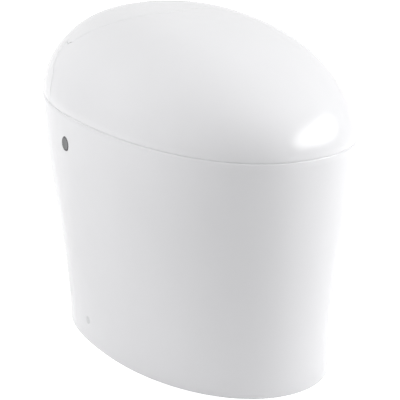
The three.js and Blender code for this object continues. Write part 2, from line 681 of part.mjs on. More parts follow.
function makeWand() {
  const start = wand.tipLength + fitGap;
  let body = rod('y', wand.radius, start, wand.length, 0, 0);
  const rackEnd = wand.length - wand.tipLength / 2;
  const half = wand.rackWidth / 2;
  const base = wand.radius + wand.rackBase;
  const points = [[wand.rackStart, 0], [rackEnd, 0], [rackEnd, base]];
  const count = Math.floor((rackEnd - wand.rackStart) / toothPitch / 2) * 2;
  for (let i = count; i > -count; i -= 1) {
    const middle = gear.along + i * toothPitch + toothPitch / 2;
    const foot = toothPitch * gear.footShare;
    const crest = toothPitch * gear.crestShare;
    if (middle + foot > rackEnd || middle - foot < wand.rackStart) continue;
    const top = base + wand.toothHeight - gear.clearance;
    points.push([middle + foot, base], [middle + crest, top], [middle - crest, top], [middle - foot, base]);
  }
  points.push([wand.rackStart, base]);
  body = body.add(prism(points, -half, half));
  return alongWand(body);
}

function makeWandTip() {
  return alongWand(rod('y', wand.tipRadius, 0, wand.tipLength, 0, 0));
}

function makePinion() {
  const points = [];
  const root = gearRadius - wand.toothHeight / 2;
  const top = gearRadius + wand.toothHeight / 2 - gear.clearance;
  for (let i = 0; i < gear.teeth; i += 1) {
    const middle = (2 * Math.PI * i) / gear.teeth - Math.PI / 2;
    const foot = (toothPitch * gear.footShare) / gearRadius;
    const crest = (toothPitch * gear.crestShare) / gearRadius;
    for (const [turn, radius] of [[-foot, root], [-crest, top], [crest, top], [foot, root]]) {
      points.push([radius * Math.cos(middle + turn), radius * Math.sin(middle + turn)]);
    }
  }
  const wheel = prism(points, -gear.width / 2, gear.width / 2);
  const bore = rod('x', gear.boreRadius, -gear.width, gear.width, 0, 0);
  return alongWand(wheel.subtract(bore).translate([0, gear.along, gearHeight]));
}

function makeCradle() {
  const inner = wand.radius + wand.cradleGap;
  const outer = inner + wand.cradleWall;
  const channel = box(-outer, outer, wand.cradleStart, wand.cradleEnd, -outer, wand.radius - wand.rackBase);
  const room = rod('y', inner, 0, wand.length, 0, 0)
    .add(box(-inner, inner, 0, wand.length, 0, outer));
  let cradle = alongWand(channel.subtract(room));
  const feetY = wand.mouthY + wand.footAlong;
  const foot = box(wand.x - outer, wand.x + outer, feetY - outer / 2, feetY + outer / 2,
    chassis.topZ + fitGap, seamHeight + overrun + outer);
  const above = box(-wide, wide, 0, 2 * wand.length, -outer + wand.cradleWall / 2, wand.length);
  cradle = cradle.add(foot.subtract(alongWand(above)));
  return cradle;
}

function makeWandMotor() {
  const x = gear.width / 2 + wandMotor.gap;
  const can = rod('x', wandMotor.radius, x, x + wandMotor.length, gear.along, gearHeight);
  const shaft = rod('x', wandMotor.shaftRadius, -gear.width / 2, x + wandMotor.gap, gear.along, gearHeight);
  const low = wand.radius - wand.rackBase + fitGap;
  const arm = box(x, x + wandMotor.gap, gear.along - wandMotor.radius / 2,
    wand.cradleStart + wandMotor.radius, low, gearHeight);
  return alongWand(can.add(shaft).add(arm));
}

const fanAxis = { y: dryer.y, z: dryer.z };

function makeDryerHousing() {
  const outer = rod('x', dryer.radius, dryer.x - dryer.halfWidth, dryer.x + dryer.halfWidth,
    fanAxis.y, fanAxis.z);
  const bottom = chassis.topZ + fitGap;
  const neck = box(dryer.x - dryer.halfWidth, dryer.x + dryer.halfWidth, fanAxis.y - dryer.radius,
    fanAxis.y - dryer.radius / 4, bottom, fanAxis.z);
  const wallIn = dryer.halfWidth - dryer.wall;
  const inside = rod('x', dryer.radius - dryer.wall, dryer.x - wallIn, dryer.x + wallIn,
    fanAxis.y, fanAxis.z)
    .add(box(dryer.x - wallIn, dryer.x + wallIn, fanAxis.y - dryer.radius + dryer.wall,
      fanAxis.y - dryer.radius / 4 - dryer.wall, bottom - overrun, fanAxis.z));
  const inlet = rod('x', dryer.inletRadius, dryer.x - dryer.radius, dryer.x, fanAxis.y, fanAxis.z);
  const axle = rod('x', dryer.shaftRadius + fitGap, dryer.x, dryer.x + dryer.radius, fanAxis.y, fanAxis.z);
  const foot = box(dryer.x - dryer.halfWidth, dryer.x + dryer.halfWidth, fanAxis.y - dryer.radius / 4,
    fanAxis.y + dryer.radius / 2, bottom, fanAxis.z - dryer.radius / 2);
  return outer.add(neck).add(foot).subtract(inside).subtract(inlet).subtract(axle);
}

function makeFanWheel() {
  const left = dryer.x - dryer.wheelHalfWidth;
  const right = dryer.x + dryer.wheelHalfWidth;
  const disc = right - 2 * dryer.bladeThick;
  let wheel = rod('x', dryer.wheelRadius, disc, right, fanAxis.y, fanAxis.z)
    .add(rod('x', dryer.wheelHub, left, right, fanAxis.y, fanAxis.z));
  for (let i = 0; i < dryer.blades; i += 1) {
    const blade = box(left, disc + dryer.bladeThick, -dryer.bladeThick / 2, dryer.bladeThick / 2,
      dryer.bladeInner, dryer.bladeOuter);
    wheel = wheel.add(blade.rotate([(360 * i) / dryer.blades, 0, 0]).translate([0, fanAxis.y, fanAxis.z]));
  }
  return wheel.subtract(rod('x', dryer.shaftRadius + fitGap, left - overrun, right + overrun,
    fanAxis.y, fanAxis.z));
}

function makeFanMotor() {
  const start = dryer.x + dryer.halfWidth + fitGap;
  return rod('x', dryer.motorRadius, start, start + dryer.motorLength, fanAxis.y, fanAxis.z)
    .add(rod('x', dryer.shaftRadius, dryer.x - dryer.wheelHalfWidth / 2, start + dryer.wall,
      fanAxis.y, fanAxis.z));
}

// The pin that the flap swings on, just in front of the duct's mouth
const flapHinge = { y: dryer.mouthY - dryer.flapThick - 2 * fitGap, z: dryer.mouthTopZ + fitGap };

// The duct from the fan's neck down and forward to the mouth behind the flap
function makeDuct() {
  const half = dryer.mouthHalfWidth;
  const top = chassis.topZ;
  const neckFront = fanAxis.y - dryer.radius;
  const neckBack = fanAxis.y - dryer.radius / 4;
  const rise = dryer.mouthTopZ - dryer.wall;
  const outline = (w) => [
    [dryer.mouthY - (w ? dryer.wall : 0), dryer.mouthTopZ - w], [neckFront + w, top - 2 * w],
    [neckFront + w, top + (w ? overrun : 0)], [neckBack - w, top + (w ? overrun : 0)],
    [neckBack - w, rise + w],
    [dryer.mouthY - (w ? dryer.wall : 0), dryer.mouthBottomZ + w],
  ];
  let body = prism(outline(0), dryer.x - half, dryer.x + half);
  const inside = prism(outline(dryer.wall), dryer.x - half + dryer.wall, dryer.x + half - dryer.wall);
  body = body.subtract(inside);
  const ear = half - dryer.wall + fitGap;
  for (const ends of [[-half, -ear], [ear, half]]) {
    body = body.add(box(dryer.x + ends[0], dryer.x + ends[1], flapHinge.y - dryer.flapThick,
      dryer.mouthY + dryer.wall, flapHinge.z - dryer.flapThick, flapHinge.z + dryer.flapThick));
  }
  return body.subtract(rod('x', dryer.pinRadius + fitGap, dryer.x - wide, dryer.x + wide,
    flapHinge.y, flapHinge.z));
}

function makeFlap() {
  const half = dryer.mouthHalfWidth - dryer.wall;
  const barrel = rod('x', dryer.flapThick, dryer.x - half, dryer.x + half, flapHinge.y, flapHinge.z);
  const leaf = box(dryer.x - half, dryer.x + half, flapHinge.y - dryer.flapThick / 2,
    flapHinge.y + dryer.flapThick / 2, flapHinge.z - dryer.flapDrop, flapHinge.z);
  const hole = rod('x', dryer.pinRadius + fitGap, dryer.x - wide, dryer.x + wide, flapHinge.y, flapHinge.z);
  return barrel.add(leaf).subtract(hole);
}

function makeFlapPin() {
  return rod('x', dryer.pinRadius, dryer.x - dryer.mouthHalfWidth, dryer.x + dryer.mouthHalfWidth,
    flapHinge.y, flapHinge.z);
}

function makeTank() {
  const t = tank;
  const top = chassis.bottomZ - fitGap;
  const round = t.round;
  const core = box(t.left, t.right, t.frontY + round, t.backY - round, t.bottomZ + round, top)
    .add(box(t.left + round, t.right - round, t.frontY, t.backY, t.bottomZ + round, top))
    .add(box(t.left + round, t.right - round, t.frontY + round, t.backY - round,
      t.bottomZ, t.bottomZ + 2 * round));
  return core;
}

function makePump() {
  const top = tank.bottomZ - fitGap;
  const body = rod('z', pump.radius, top - pump.height, top, pump.x, pump.y);
  const portZ = top - pump.height / 2;
  return body.add(rod('x', pump.portRadius, pump.x - pump.radius - pump.portRadius, pump.x, pump.y, portZ));
}

function makePumpMotor() {
  const top = tank.bottomZ - 2 * fitGap - pump.height;
  const can = rod('z', pump.motorRadius, top - pump.motorHeight, top, pump.x, pump.y);
  const low = top - pump.motorHeight;
  return can.add(rod('z', pump.motorNeckRadius, low - pump.portRadius, low + pump.portRadius,
    pump.x, pump.y));
}

function feedPoints() {
  const startX = pump.x - pump.radius - pump.portRadius - fitGap;
  const startZ = tank.bottomZ - fitGap - pump.height / 2;
  return feedShares.map(([alongX, alongY, alongZ]) => [
    mix(startX, feedPipe.endX, alongX), mix(pump.y, feedPipe.endY, alongY),
    mix(startZ, feedPipe.endZ, alongZ),
  ]);
}

function makeFeedPipe() {
  const outside = tube(feedPoints(), feedPipe.radius, facets.tube, feedPipe.steps);
  const inside = tube(feedPoints(), feedPipe.bore, facets.tube, feedPipe.steps);
  return outside.subtract(inside).subtract(bowlSolid(ceramic.bowlWall + fitGap, seamHeight));
}

function makeInletValve() {
  const v = inletValve;
  const top = chassis.bottomZ - fitGap;
  const body = box(v.left, v.right, v.frontY, v.backY, top - v.height, top);
  return body.add(rod('y', v.height / 3, v.frontY - v.height / 2, v.frontY + v.height / 2,
    (v.left + v.right) / 2, top - v.height / 2));
}

// The threaded stub that the supply screws onto
function makeInletStub() {
  const v = inletValve;
  const top = chassis.bottomZ - 2 * fitGap - v.height;
  const profile = [[v.bore, top - v.stubLength], [v.stubRadius, top - v.stubLength]];
  const pitch = v.threadLength / v.threads;
  for (let i = 0; i < v.threads; i += 1) {
    const z = top - v.stubLength + pitch * i;
    const [crestEnd, root] = threadShares.map((share) => z + pitch * share);
    profile.push([v.stubRadius, crestEnd], [v.stubRadius - v.threadDepth, root], [v.stubRadius, z + pitch]);
  }
  const collar = v.stubRadius + v.collar;
  profile.push([collar, top - v.collarLength], [collar, top], [v.bore, top], [v.bore, top - v.stubLength]);
  return turnedZ(profile, (v.left + v.right) / 2, (v.frontY + v.backY) / 2, facets.turned);
}

function makeGland() {
  const g = powerGland;
  const top = chassis.bottomZ - fitGap;
  const profile = [
    [g.bore, top - g.length], [g.tipRadius, top - g.length], [g.neckRadius, top - g.nutHeight],
    [g.radius, top - g.nutHeight], [g.radius, top], [g.bore, top], [g.bore, top - g.length],
  ];
  return turnedZ(profile, g.x, g.y, facets.turned);
}

function makeHeater() {
  const h = heater;
  const low = chassis.topZ + fitGap;
  const body = box(h.left, h.right, h.frontY, h.backY, low, low + h.height);
  return body.add(rod('z', h.domeRadius, low, low + h.height + h.domeRadius / 2,
    (h.left + h.right) / 2, (h.frontY + h.backY) / 2));
}

function makeBoardCase() {
  const b = board;
  const low = chassis.topZ + fitGap;
  const wall = b.thick;
  const tray = box(b.left, b.right, b.frontY, b.backY, low, low + b.baseHeight);
  return tray.subtract(box(b.left + wall, b.right - wall, b.frontY + wall, b.backY - wall, low + wall,
    low + b.baseHeight + wall));
}

function makeBoard() {
  const b = board;
  const low = chassis.topZ + 2 * fitGap + b.thick;
  const edge = b.thick + fitGap;
  let plate = box(b.left + edge, b.right - edge, b.frontY + edge, b.backY - edge, low, low + b.thick);
  for (const share of boardShares) {
    const x = mix(b.left, b.right, share);
    const chipY = b.frontY + b.chipLength;
    plate = plate.add(box(x, x + b.chipWidth, chipY, chipY + b.chipLength, low, low + b.chipHeight));
    plate = plate.add(rod('z', b.canRadius, low, low + 2 * b.chipHeight, x + b.chipWidth / 2,
      b.backY - b.chipLength));
  }
  return plate;
}

function makeFilter() {
  const f = filter;
  const low = chassis.topZ + fitGap;
  let body = box(f.left, f.right, f.frontY, f.backY, low, low + f.height);
  const pitch = f.height / (f.ribs + 1);
  for (let i = 1; i <= f.ribs; i += 1) {
    const z = low + pitch * i;
    body = body.subtract(box(f.left + f.ribDepth, f.right - f.ribDepth, f.frontY - overrun,
      f.frontY + f.ribDepth, z - f.ribDepth / 2, z + f.ribDepth / 2));
  }
  return body;
}

// The lid's drive or damper on one side, with the bracket that stands under it
function makeHingeDrive(side) {
  const h = hingeDrive;
  const ends = [side * h.inner, side * h.outer].sort((a, b) => a - b);
  const can = box(...ends, lidHinge.y - h.half, lidHinge.y + h.half,
    lidHinge.z - h.half, lidHinge.z + h.half);
  const depths = [side * (h.outer - h.socket), side * (h.outer + overrun)].sort((a, b) => a - b);
  return can.subtract(rod('x', lidHinge.shaftRadius + fitGap, ...depths, lidHinge.y, lidHinge.z));
}

function makeHingeBracket(side) {
  const h = hingeDrive;
  const ends = [side * h.bracketInner, side * h.bracketOuter].sort((a, b) => a - b);
  return box(...ends, lidHinge.y - h.bracketHalf + h.neck, lidHinge.y + h.bracketHalf + h.neck,
    chassis.topZ + fitGap, lidHinge.z - h.half - fitGap);
}

function makeLidShaft(side) {
  const inner = side * (hingeDrive.outer - hingeDrive.socket + fitGap);
  const ends = [inner, side * lidHinge.shaftEnd].sort((a, b) => a - b);
  return rod('x', lidHinge.shaftRadius, ...ends, lidHinge.y, lidHinge.z);
}

function makeSeatPin(side) {
  const inner = seat.earInner - chassis.lugGap - chassis.lugThick;
  const outer = seat.earOuter + chassis.lugGap + chassis.lugThick;
  const ends = [side * inner, side * outer].sort((a, b) => a - b);
  return rod('x', seat.pinRadius, ...ends, seat.hingeY, seat.hingeZ);
}

const flankX = -skinHalfWidth(button.z / seamHeight, button.y);

// The button's ring, cap and switch, set into the left flank along X
function makeButtonRing() {
  const outer = button.radius + button.ring;
  const start = flankX - button.proud / 2;
  return rod('x', outer, start, start + button.ringDepth, button.y, button.z)
    .subtract(rod('x', button.radius + button.gap, start - overrun, start + overrun, button.y, button.z,
      facets.large));
}

function makeButtonCap() {
  const start = flankX - button.proud;
  const stemEnd = start + button.cap + button.ringDepth;
  const head = rod('x', button.radius, start, start + button.cap, button.y, button.z, facets.large);
  return head.add(rod('x', button.stemRadius, start, stemEnd, button.y, button.z));
}

function makeButtonSwitch() {
  const start = flankX - button.proud / 2 + button.ringDepth + fitGap;
  const outer = button.radius + button.ring;
  const body = rod('x', outer, start, start + button.switchLength, button.y, button.z);
  const socketEnd = start + button.switchLength - button.socketWall;
  const room = rod('x', button.stemRadius + button.gap, start - overrun, socketEnd, button.y, button.z);
  return body.subtract(room);
}

function fixingX(side) {
  return side * skinHalfWidth(fixing.z / seamHeight, fixing.y);
}

function makeFixingCap(side) {
  const outer = fixingX(side) + side * fixing.capProud;
  const ends = [outer, outer - side * fixing.capDepth].sort((a, b) => a - b);
  return rod('x', fixing.capRadius, ...ends, fixing.y, fixing.z);
}

function makeFixingScrew(side) {
  const head = fixingX(side) + side * (fixing.capProud - fixing.capDepth) - side * fitGap;
  const neck = head - side * fixing.capDepth;
  const tip = head - side * fixing.screwLength;
  return rod('x', fixing.headRadius, ...[head, neck].sort((a, b) => a - b), fixing.y, fixing.z)
    .add(rod('x', fixing.screwRadius, ...[head, tip].sort((a, b) => a - b), fixing.y, fixing.z));
}

function makeFloorBracket(side) {
  const f = fixing;
  const wallX = Math.abs(fixingX(side)) - ceramic.wall - f.bracketGap;
  const span = (a, b) => [side * a, side * b].sort((p, q) => p - q);
  const across = [f.y - f.bracketWidth / 2, f.y + f.bracketWidth / 2];
  const upright = box(...span(wallX - f.bracketThick, wallX), ...across, 0, f.bracketHeight);
  const foot = box(...span(wallX - f.footLength, wallX), ...across, 0, f.bracketThick);
  const hole = rod('x', f.screwRadius + fitGap, -wide, wide, f.y, f.z);
  const boltX = side * (wallX - f.footLength / 2);
  const bolt = rod('z', f.floorScrewRadius + fitGap, -overrun, overrun, boltX, f.y);
  return upright.add(foot).subtract(hole).subtract(bolt);
}

function makeFloorScrew(side) {
  const f = fixing;
  const wallX = Math.abs(fixingX(side)) - ceramic.wall - f.bracketGap;
  const x = side * (wallX - f.footLength / 2);
  const seatZ = f.bracketThick + fitGap;
  return rod('z', f.floorScrewRadius, 0, seatZ + f.floorHeadHeight, x, f.y)
    .add(rod('z', f.floorHeadRadius, seatZ, seatZ + f.floorHeadHeight, x, f.y, facets.hex));
}

function makeOutletSeal() {
  const top = ceramic.trapEndZ - fitGap;
  const s = outletSeal;
  const profile = [
    [s.inner, 0], [s.outer, 0], [s.outer, top - s.bevel], [s.outer - s.bevel, top],
    [s.inner, top], [s.inner, 0],
  ];
  return turnedZ(profile, 0, trap.endY, facets.large);
}

function makeSensorWindow() {
  const flangeY = coverFrontY + shell.coverWall + fitGap;
  return rod('y', sensor.radius, coverFrontY + fitGap, flangeY + sensor.thick, 0, sensor.z)
    .add(rod('y', sensor.radius + sensor.flange, flangeY, flangeY + sensor.thick, 0, sensor.z));
}

function makeSeatBumper(side, y) {
  const x = side * (skinHalfWidth(1, y) - seat.bumperInset);
  return rod('z', seat.bumperRadius, seamHeight + fitGap, seat.bottomZ - fitGap, x, y);
}

function makeLidBumper(side) {
  return rod('z', lidBumper.radius, seat.topZ + fitGap, seat.topZ + lidBumper.height - fitGap,
    side * lidBumper.inner, lidBumper.y);
}

addPiece('ceramic_base', makeCeramic(), 'ceramic');
addPiece('lid', makeLid(), 'gloss');
addPiece('rear_cover', makeCover(), 'gloss');
addPiece('seat', makeSeat(), 'gloss');
addPiece('chassis_plate', makeChassis(), 'white');
for (const [word, side] of [['left', -1], ['right', 1]]) {
  addPiece(`seat_hinge_pin_${word}`, makeSeatPin(side), 'steel');
  addPiece(`lid_shaft_${word}`, makeLidShaft(side), 'steel');
  addPiece(side < 0 ? 'lid_damper' : 'lid_drive', makeHingeDrive(side), 'dark');
  addPiece(`hinge_bracket_${word}`, makeHingeBracket(side), 'white');
  addPiece(`lid_bumper_${word}`, makeLidBumper(side), 'rubber');
  addPiece(`seat_bumper_rear_${word}`, makeSeatBumper(side, seat.bumperRearY), 'rubber');
  addPiece(`seat_bumper_front_${word}`, makeSeatBumper(side, seat.bumperFrontY), 'rubber');
  addPiece(`fixing_cap_${word}`, makeFixingCap(side), 'white');
  addPiece(`fixing_screw_${word}`, makeFixingScrew(side), 'steel');
  addPiece(`floor_bracket_${word}`, makeFloorBracket(side), 'white');
  addPiece(`floor_screw_${word}`, makeFloorScrew(side), 'steel');
}
addPiece('outlet_seal', makeOutletSeal(), 'rubber');
addPiece('bidet_wand', makeWand(), 'steel');
addPiece('wand_tip', makeWandTip(), 'white');
addPiece('wand_cradle', makeCradle(), 'white');
addPiece('wand_pinion', makePinion(), 'grey');
addPiece('wand_motor', makeWandMotor(), 'dark');
addPiece('dryer_housing', makeDryerHousing(), 'dark');
addPiece('dryer_fan_wheel', makeFanWheel(), 'grey');
addPiece('dryer_motor', makeFanMotor(), 'steel');
addPiece('dryer_duct', makeDuct(), 'white');
addPiece('dryer_flap', makeFlap(), 'white');
addPiece('dryer_flap_pin', makeFlapPin(), 'steel');
addPiece('flush_tank', makeTank(), 'white');
addPiece('flush_pump', makePump(), 'dark');
addPiece('pump_motor', makePumpMotor(), 'steel');
addPiece('rim_feed_pipe', makeFeedPipe(), 'rubber');
addPiece('inlet_valve', makeInletValve(), 'white');
addPiece('inlet_stub', makeInletStub(), 'steel');
addPiece('power_gland', makeGland(), 'dark');
addPiece('instant_heater', makeHeater(), 'white');
addPiece('board_case', makeBoardCase(), 'dark');
addPiece('control_board', makeBoard(), 'green');
addPiece('deodorizer_filter', makeFilter(), 'dark');
addPiece('sensor_window', makeSensorWindow(), 'smoke');
addPiece('button_ring', makeButtonRing(), 'chrome');
addPiece('flush_button', makeButtonCap(), 'grey');
addPiece('button_switch', makeButtonSwitch(), 'dark');

export default model;
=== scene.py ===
import json
import math

import bpy
from mathutils import Matrix, Vector


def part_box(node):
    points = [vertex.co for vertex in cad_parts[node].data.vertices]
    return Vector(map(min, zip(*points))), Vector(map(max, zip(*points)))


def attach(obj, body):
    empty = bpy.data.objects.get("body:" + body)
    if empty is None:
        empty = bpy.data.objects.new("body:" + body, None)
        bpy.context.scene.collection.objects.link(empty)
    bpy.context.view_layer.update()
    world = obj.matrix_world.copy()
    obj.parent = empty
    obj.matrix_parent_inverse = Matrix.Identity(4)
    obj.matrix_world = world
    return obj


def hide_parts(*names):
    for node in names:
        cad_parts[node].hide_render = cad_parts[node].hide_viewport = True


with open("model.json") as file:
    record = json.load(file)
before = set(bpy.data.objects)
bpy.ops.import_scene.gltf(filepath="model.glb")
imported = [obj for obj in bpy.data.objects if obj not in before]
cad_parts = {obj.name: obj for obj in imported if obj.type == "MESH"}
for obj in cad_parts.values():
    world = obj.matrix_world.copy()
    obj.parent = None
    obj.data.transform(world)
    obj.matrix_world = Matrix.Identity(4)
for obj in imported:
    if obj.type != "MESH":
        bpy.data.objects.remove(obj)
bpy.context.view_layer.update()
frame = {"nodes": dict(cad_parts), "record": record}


def middle_yz(node):
    low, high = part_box(node)
    return (low[1] + high[1]) / 2, (low[2] + high[2]) / 2


def radius_of(node):
    """The radius of a round node that lies along X."""
    low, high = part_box(node)
    return (high[1] - low[1]) / 2


# The frame gives the main sizes and places, in metres: +X is right, -Y is the front, +Z is up
base_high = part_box("ceramic_base")[1]
SEAM_Z = base_high[2]
BACK_Y = base_high[1]
NOSE_Y = -BACK_Y
DOME_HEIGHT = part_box("lid")[1][2] - SEAM_Z
HALF_WIDTH = 0.2066

# A cutter runs past what it cuts by OVERRUN, and a loose fit has FIT_GAP all round
OVERRUN, FIT_GAP = 0.04, 0.0003
WIDE = HALF_WIDTH + OVERRUN

# The plan: how far it draws in from the seam to the floor, and where it is widest
FRONT_INSET, SIDE_INSET, REAR_INSET = 0.0458, 0.0281, 0.064
WIDEST_SEAM_Y, WIDEST_FLOOR_Y, CREST_Y = 0.0408, 0.0058, 0.0368
# How far the round tail would reach past the flat back
TAIL_REACH = 0.02
# How an inset grows on its way down: (bend, sway)
FRONT_TAPER, SIDE_TAPER, REAR_TAPER = (0.506, -0.692), (0.141, -1.6), (0.004, -0.181)
# How full the plan's ends are: (power at the floor, power at the seam)
FRONT_POWERS, REAR_POWERS = (2.061, 2.227), (2.392, 2.235)
# How full the dome is from its foot to its crest: (power of the spread, power of the lift)
DOME_FRONT, DOME_SIDE, DOME_REAR = (2.762, 1.742), (2.879, 1.603), (2.762, 1.806)

# The ceramic's rounded edges at the seam and at the floor
RIM_EDGE, RIM_POWER, FLOOR_ROUND = 0.0018, 1.6, 0.002
# The dome's foot is drawn in over FOOT_RISE, and its closest rows lie in FOOT_BAND
SEAM_GAP, FOOT_DRAW, FOOT_RISE, FOOT_BAND = 0.00001, 0.0018, 0.008, 0.0022

# How finely round forms are divided
SKIN_TURNS, SKIN_RINGS, DOME_RINGS, HOLLOW_RINGS = 176, 44, 52, 16
BOWL_TURNS, BOWL_ROWS, TRAP_STEPS, TRAP_SIDES = 96, 36, 48, 32
ROUND_STEPS, TURNED_SIDES = 6, 72
ROD_SIDES, HOLE_SIDES, WIDE_ROD_SIDES, DRUM_SIDES, DRUM_STEPS = 48, 64, 96, 128, 40

# The lid's hinge, and the lobes and bosses about it
HINGE_Y, HINGE_Z = middle_yz("lid_shaft_left")
SHAFT_RADIUS = radius_of("lid_shaft_left")
SHAFT_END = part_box("lid_shaft_right")[1][0]
LOBE_RADIUS, BOSS_RADIUS, BOSS_START = 0.032, 0.017, 0.151
DRUM_RADIUS, DRUM_HALF, DRUM_POWER = 0.137, 0.16, 2.9

# The shells' walls and the parting line between lid and cover
LID_WALL, COVER_WALL, PARTING_GAP = 0.004, 0.0035, 0.0011
PARTING_BOTTOM_Y, PARTING_LEAN, PARTING_TOP_Y, PARTING_TOP_Z = 0.153, 0.305, 0.163, 0.506

# The openings in the cover's front: for wand and dryer, for the seat's tongue and for the sensor
COVER_FRONT_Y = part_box("rear_cover")[0][1]
SPOUT_LEFT, SPOUT_RIGHT, SPOUT_TOP, SPOUT_DEPTH = -0.0542, 0.0417, 0.4145, 0.021
TONGUE_HALF, TONGUE_BACK_Y, TONGUE_TOP_Z = 0.0923, 0.1123, 0.4037
EYE_RADIUS, EYE_Z = 0.009, middle_yz("sensor_window")[1]

# The ceramic's wall and deck, and the bowl in it
WALL, DECK = 0.016, 0.026
BOWL_Y, BOWL_HALF_WIDTH, BOWL_HALF_LENGTH = -0.15, 0.122, 0.13
BOWL_WALL, BOWL_FLOOR_Z, BOWL_LIP = 0.012, 0.165, 0.006
OVAL_FRONT_POWER, OVAL_REAR_POWER = 2.2, 2.4
# Shares of the bowl's height, half width, half length and shift to the back
BOWL_SHARES = [
    (0, 0.15, 0.19, 0.1), (0.06, 0.3, 0.35, 0.1), (0.21, 0.46, 0.51, 0.07), (0.45, 0.72, 0.75, 0.03),
    (0.7, 0.9, 0.91, 0.01), (0.93, 0.99, 0.99, 0), (1, 1, 1, 0),
]

# The trapway, from the sump over the weir down to the outlet; shares of its run and rise
TRAP_RADIUS, TRAP_BORE, ROUGH_IN, TRAP_END_Z, TRAP_RUN, TRAP_RISE = 0.036, 0.027, 0.305, 0.02, 0.15, 0.27
TRAP_SHARES = [(-1, 0.64), (-0.62, 0.72), (-0.25, 0.92), (-0.02, 0.9), (0, 0.55), (0, 0)]

# The well for the works, the notch before it, and the service arch at the back
WELL_HALF_WIDTH, WELL_FRONT_Y, WELL_BACK_Y = 0.082, 0.1, 0.29
NOTCH_HALF_WIDTH, NOTCH_WALL, SILL_Z = 0.062, 0.011, 0.384
NOTCH_FRONT_Y, NOTCH_FRONT_Z, NOTCH_BACK_Y, NOTCH_BACK_Z = -0.06, 0.33, 0.072, 0.38
ARCH_HALF_WIDTH, ARCH_HEIGHT = 0.072, 0.235

# The side fixing caps and the flush button, set into the flanks; BUTTON_STEM hides behind the button's face
FIXING_Y, FIXING_Z = middle_yz("fixing_cap_left")
FIXING_RADIUS = radius_of("fixing_cap_left")
FIXING_RIM, FIXING_DISH = 0.0006, 0.0003
BUTTON_Y, BUTTON_Z = middle_yz("flush_button")
BUTTON_RADIUS, BUTTON_RING, BUTTON_GAP, BUTTON_STEM = 0.0102, 0.002, 0.0004, 0.01
BUTTON_RIM, BUTTON_DISH, TRIM_RIM = 0.0008, 0.0005, 0.0006
DISH_SHARES = (0.85, 0.7, 0.5, 0.3)

# The seat ring and its hinge ears
SEAT_INSET, SEAT_CROWN, SEAT_FLARE, SEAT_EDGE = 0.012, 0.009, 0.008, 0.002
SEAT_TOP_Z, SEAT_BACK_Y, SEAT_HOLE_WIDTH, SEAT_HOLE_LENGTH = 0.424, 0.016, 0.112, 0.122
SEAT_HINGE_Y, SEAT_HINGE_Z = middle_yz("seat_hinge_pin_left")
PIN_RADIUS = radius_of("seat_hinge_pin_left")
EAR_INNER, EAR_OUTER, EAR_RADIUS, EAR_FOOT = 0.07, 0.088, 0.009, 0.027

# The shelves inside the lid that carry its bumpers
LID_BUMPER_X, LID_BUMPER_Y, LID_BUMPER_HEIGHT = 0.128, -0.12, 0.009
SHELF_HALF, SHELF_THICK = 0.011, 0.004

# Shading: the angle of a sharp edge in degrees, and the fine bevel on the frame's own solids
SMOOTH_ANGLE, EDGE_WIDTH, EDGE_SEGMENTS, EDGE_ANGLE = 32, 0.0006, 2, 50
# The middle part of a noise, which is spread over the whole range of a roughness or a colour
SPREAD_LOW, SPREAD_HIGH, RAMP_LOW, RAMP_HIGH = 0.3, 0.7, 0.35, 0.65

# The floor glows a little less near the object, so its shadow stays: (distance, strength)
FLOOR_REACH, FLOOR_COLOR, FLOOR_ROUGHNESS = 12, (0.83, 0.83, 0.835), 0.9
GLOW_NEAR, GLOW_FAR = (0.5, 0.66), (2.2, 0.96)
WORLD_LEVEL = 0.07

# The soft lamps: name, azimuth, elevation, size in metres, power in watts, and whether the gloss mirrors it
LAMP_CENTRE, LAMP_DISTANCE = (0, 0, 0.3), 2.7
LAMPS = [
    ("lamp_right", 44, 26, (2.9, 1.2), 53, True),
    ("lamp_left", -112, 22, (3.3, 2.6), 36, False),
    ("lamp_top_right", 50, 62, (2.2, 2.0), 8, False),
    ("lamp_top_left", -84, 68, (3.4, 2.8), 38, False),
]

# The camera that matches the photograph's view
CAMERA_AZIMUTH, CAMERA_ELEVATION, CAMERA_DISTANCE = -30.22, 18.05, 3.0623
CAMERA_TARGET = (0, 0.01, 0.2401)
CAMERA_LENS, CAMERA_SENSOR, CAMERA_SHIFT_X = 164.6, 36, 0.00955


def mesh_object(name, points, faces):
    mesh = bpy.data.meshes.new(name)
    mesh.from_pydata(points, [], faces)
    mesh.update()
    piece = bpy.data.objects.new(name, mesh)
    bpy.context.scene.collection.objects.link(piece)
    return piece


def loft(name, rings, top_point=None):
    """A closed body through rings of equal point count, lowest first."""
    count = len(rings[0])
    points = [point for ring in rings for point in ring]
    faces = [tuple(reversed(range(count)))]
    for row in range(len(rings) - 1):
        low, high = row * count, (row + 1) * count
        for i in range(count):
            after = (i + 1) % count
            faces.append((low + i, low + after, high + after, high + i))
    last = (len(rings) - 1) * count
    if top_point is None:
        faces.append(tuple(range(last, last + count)))
    else:
        points.append(top_point)
        faces += [(last + i, last + (i + 1) % count, len(points) - 1) for i in range(count)]
    return mesh_object(name, points, faces)


def block(x0, x1, y0, y1, z0, z1):
    return loft("block", [[(x0, y0, z), (x1, y0, z), (x1, y1, z), (x0, y1, z)] for z in (z0, z1)])


def rod(axis, radius, start, end, a, b, sides=ROD_SIDES):
    """A round body along X or Y; a and b are its place on the other two axes."""
    turns = [2 * math.pi * i / sides for i in range(sides)]
    ring = [(radius * math.cos(turn), radius * math.sin(turn)) for turn in turns]
    if axis == "x":
        return loft("rod", [[(at, a + p, b + q) for p, q in ring] for at in (start, end)])
    return loft("rod", [[(a + q, at, b + p) for p, q in ring] for at in (start, end)])


def prism(outline, x0, x1):
    """An outline in Y and Z, drawn out along X."""
    return loft("prism", [[(x, y, z) for y, z in outline] for x in (x0, x1)])


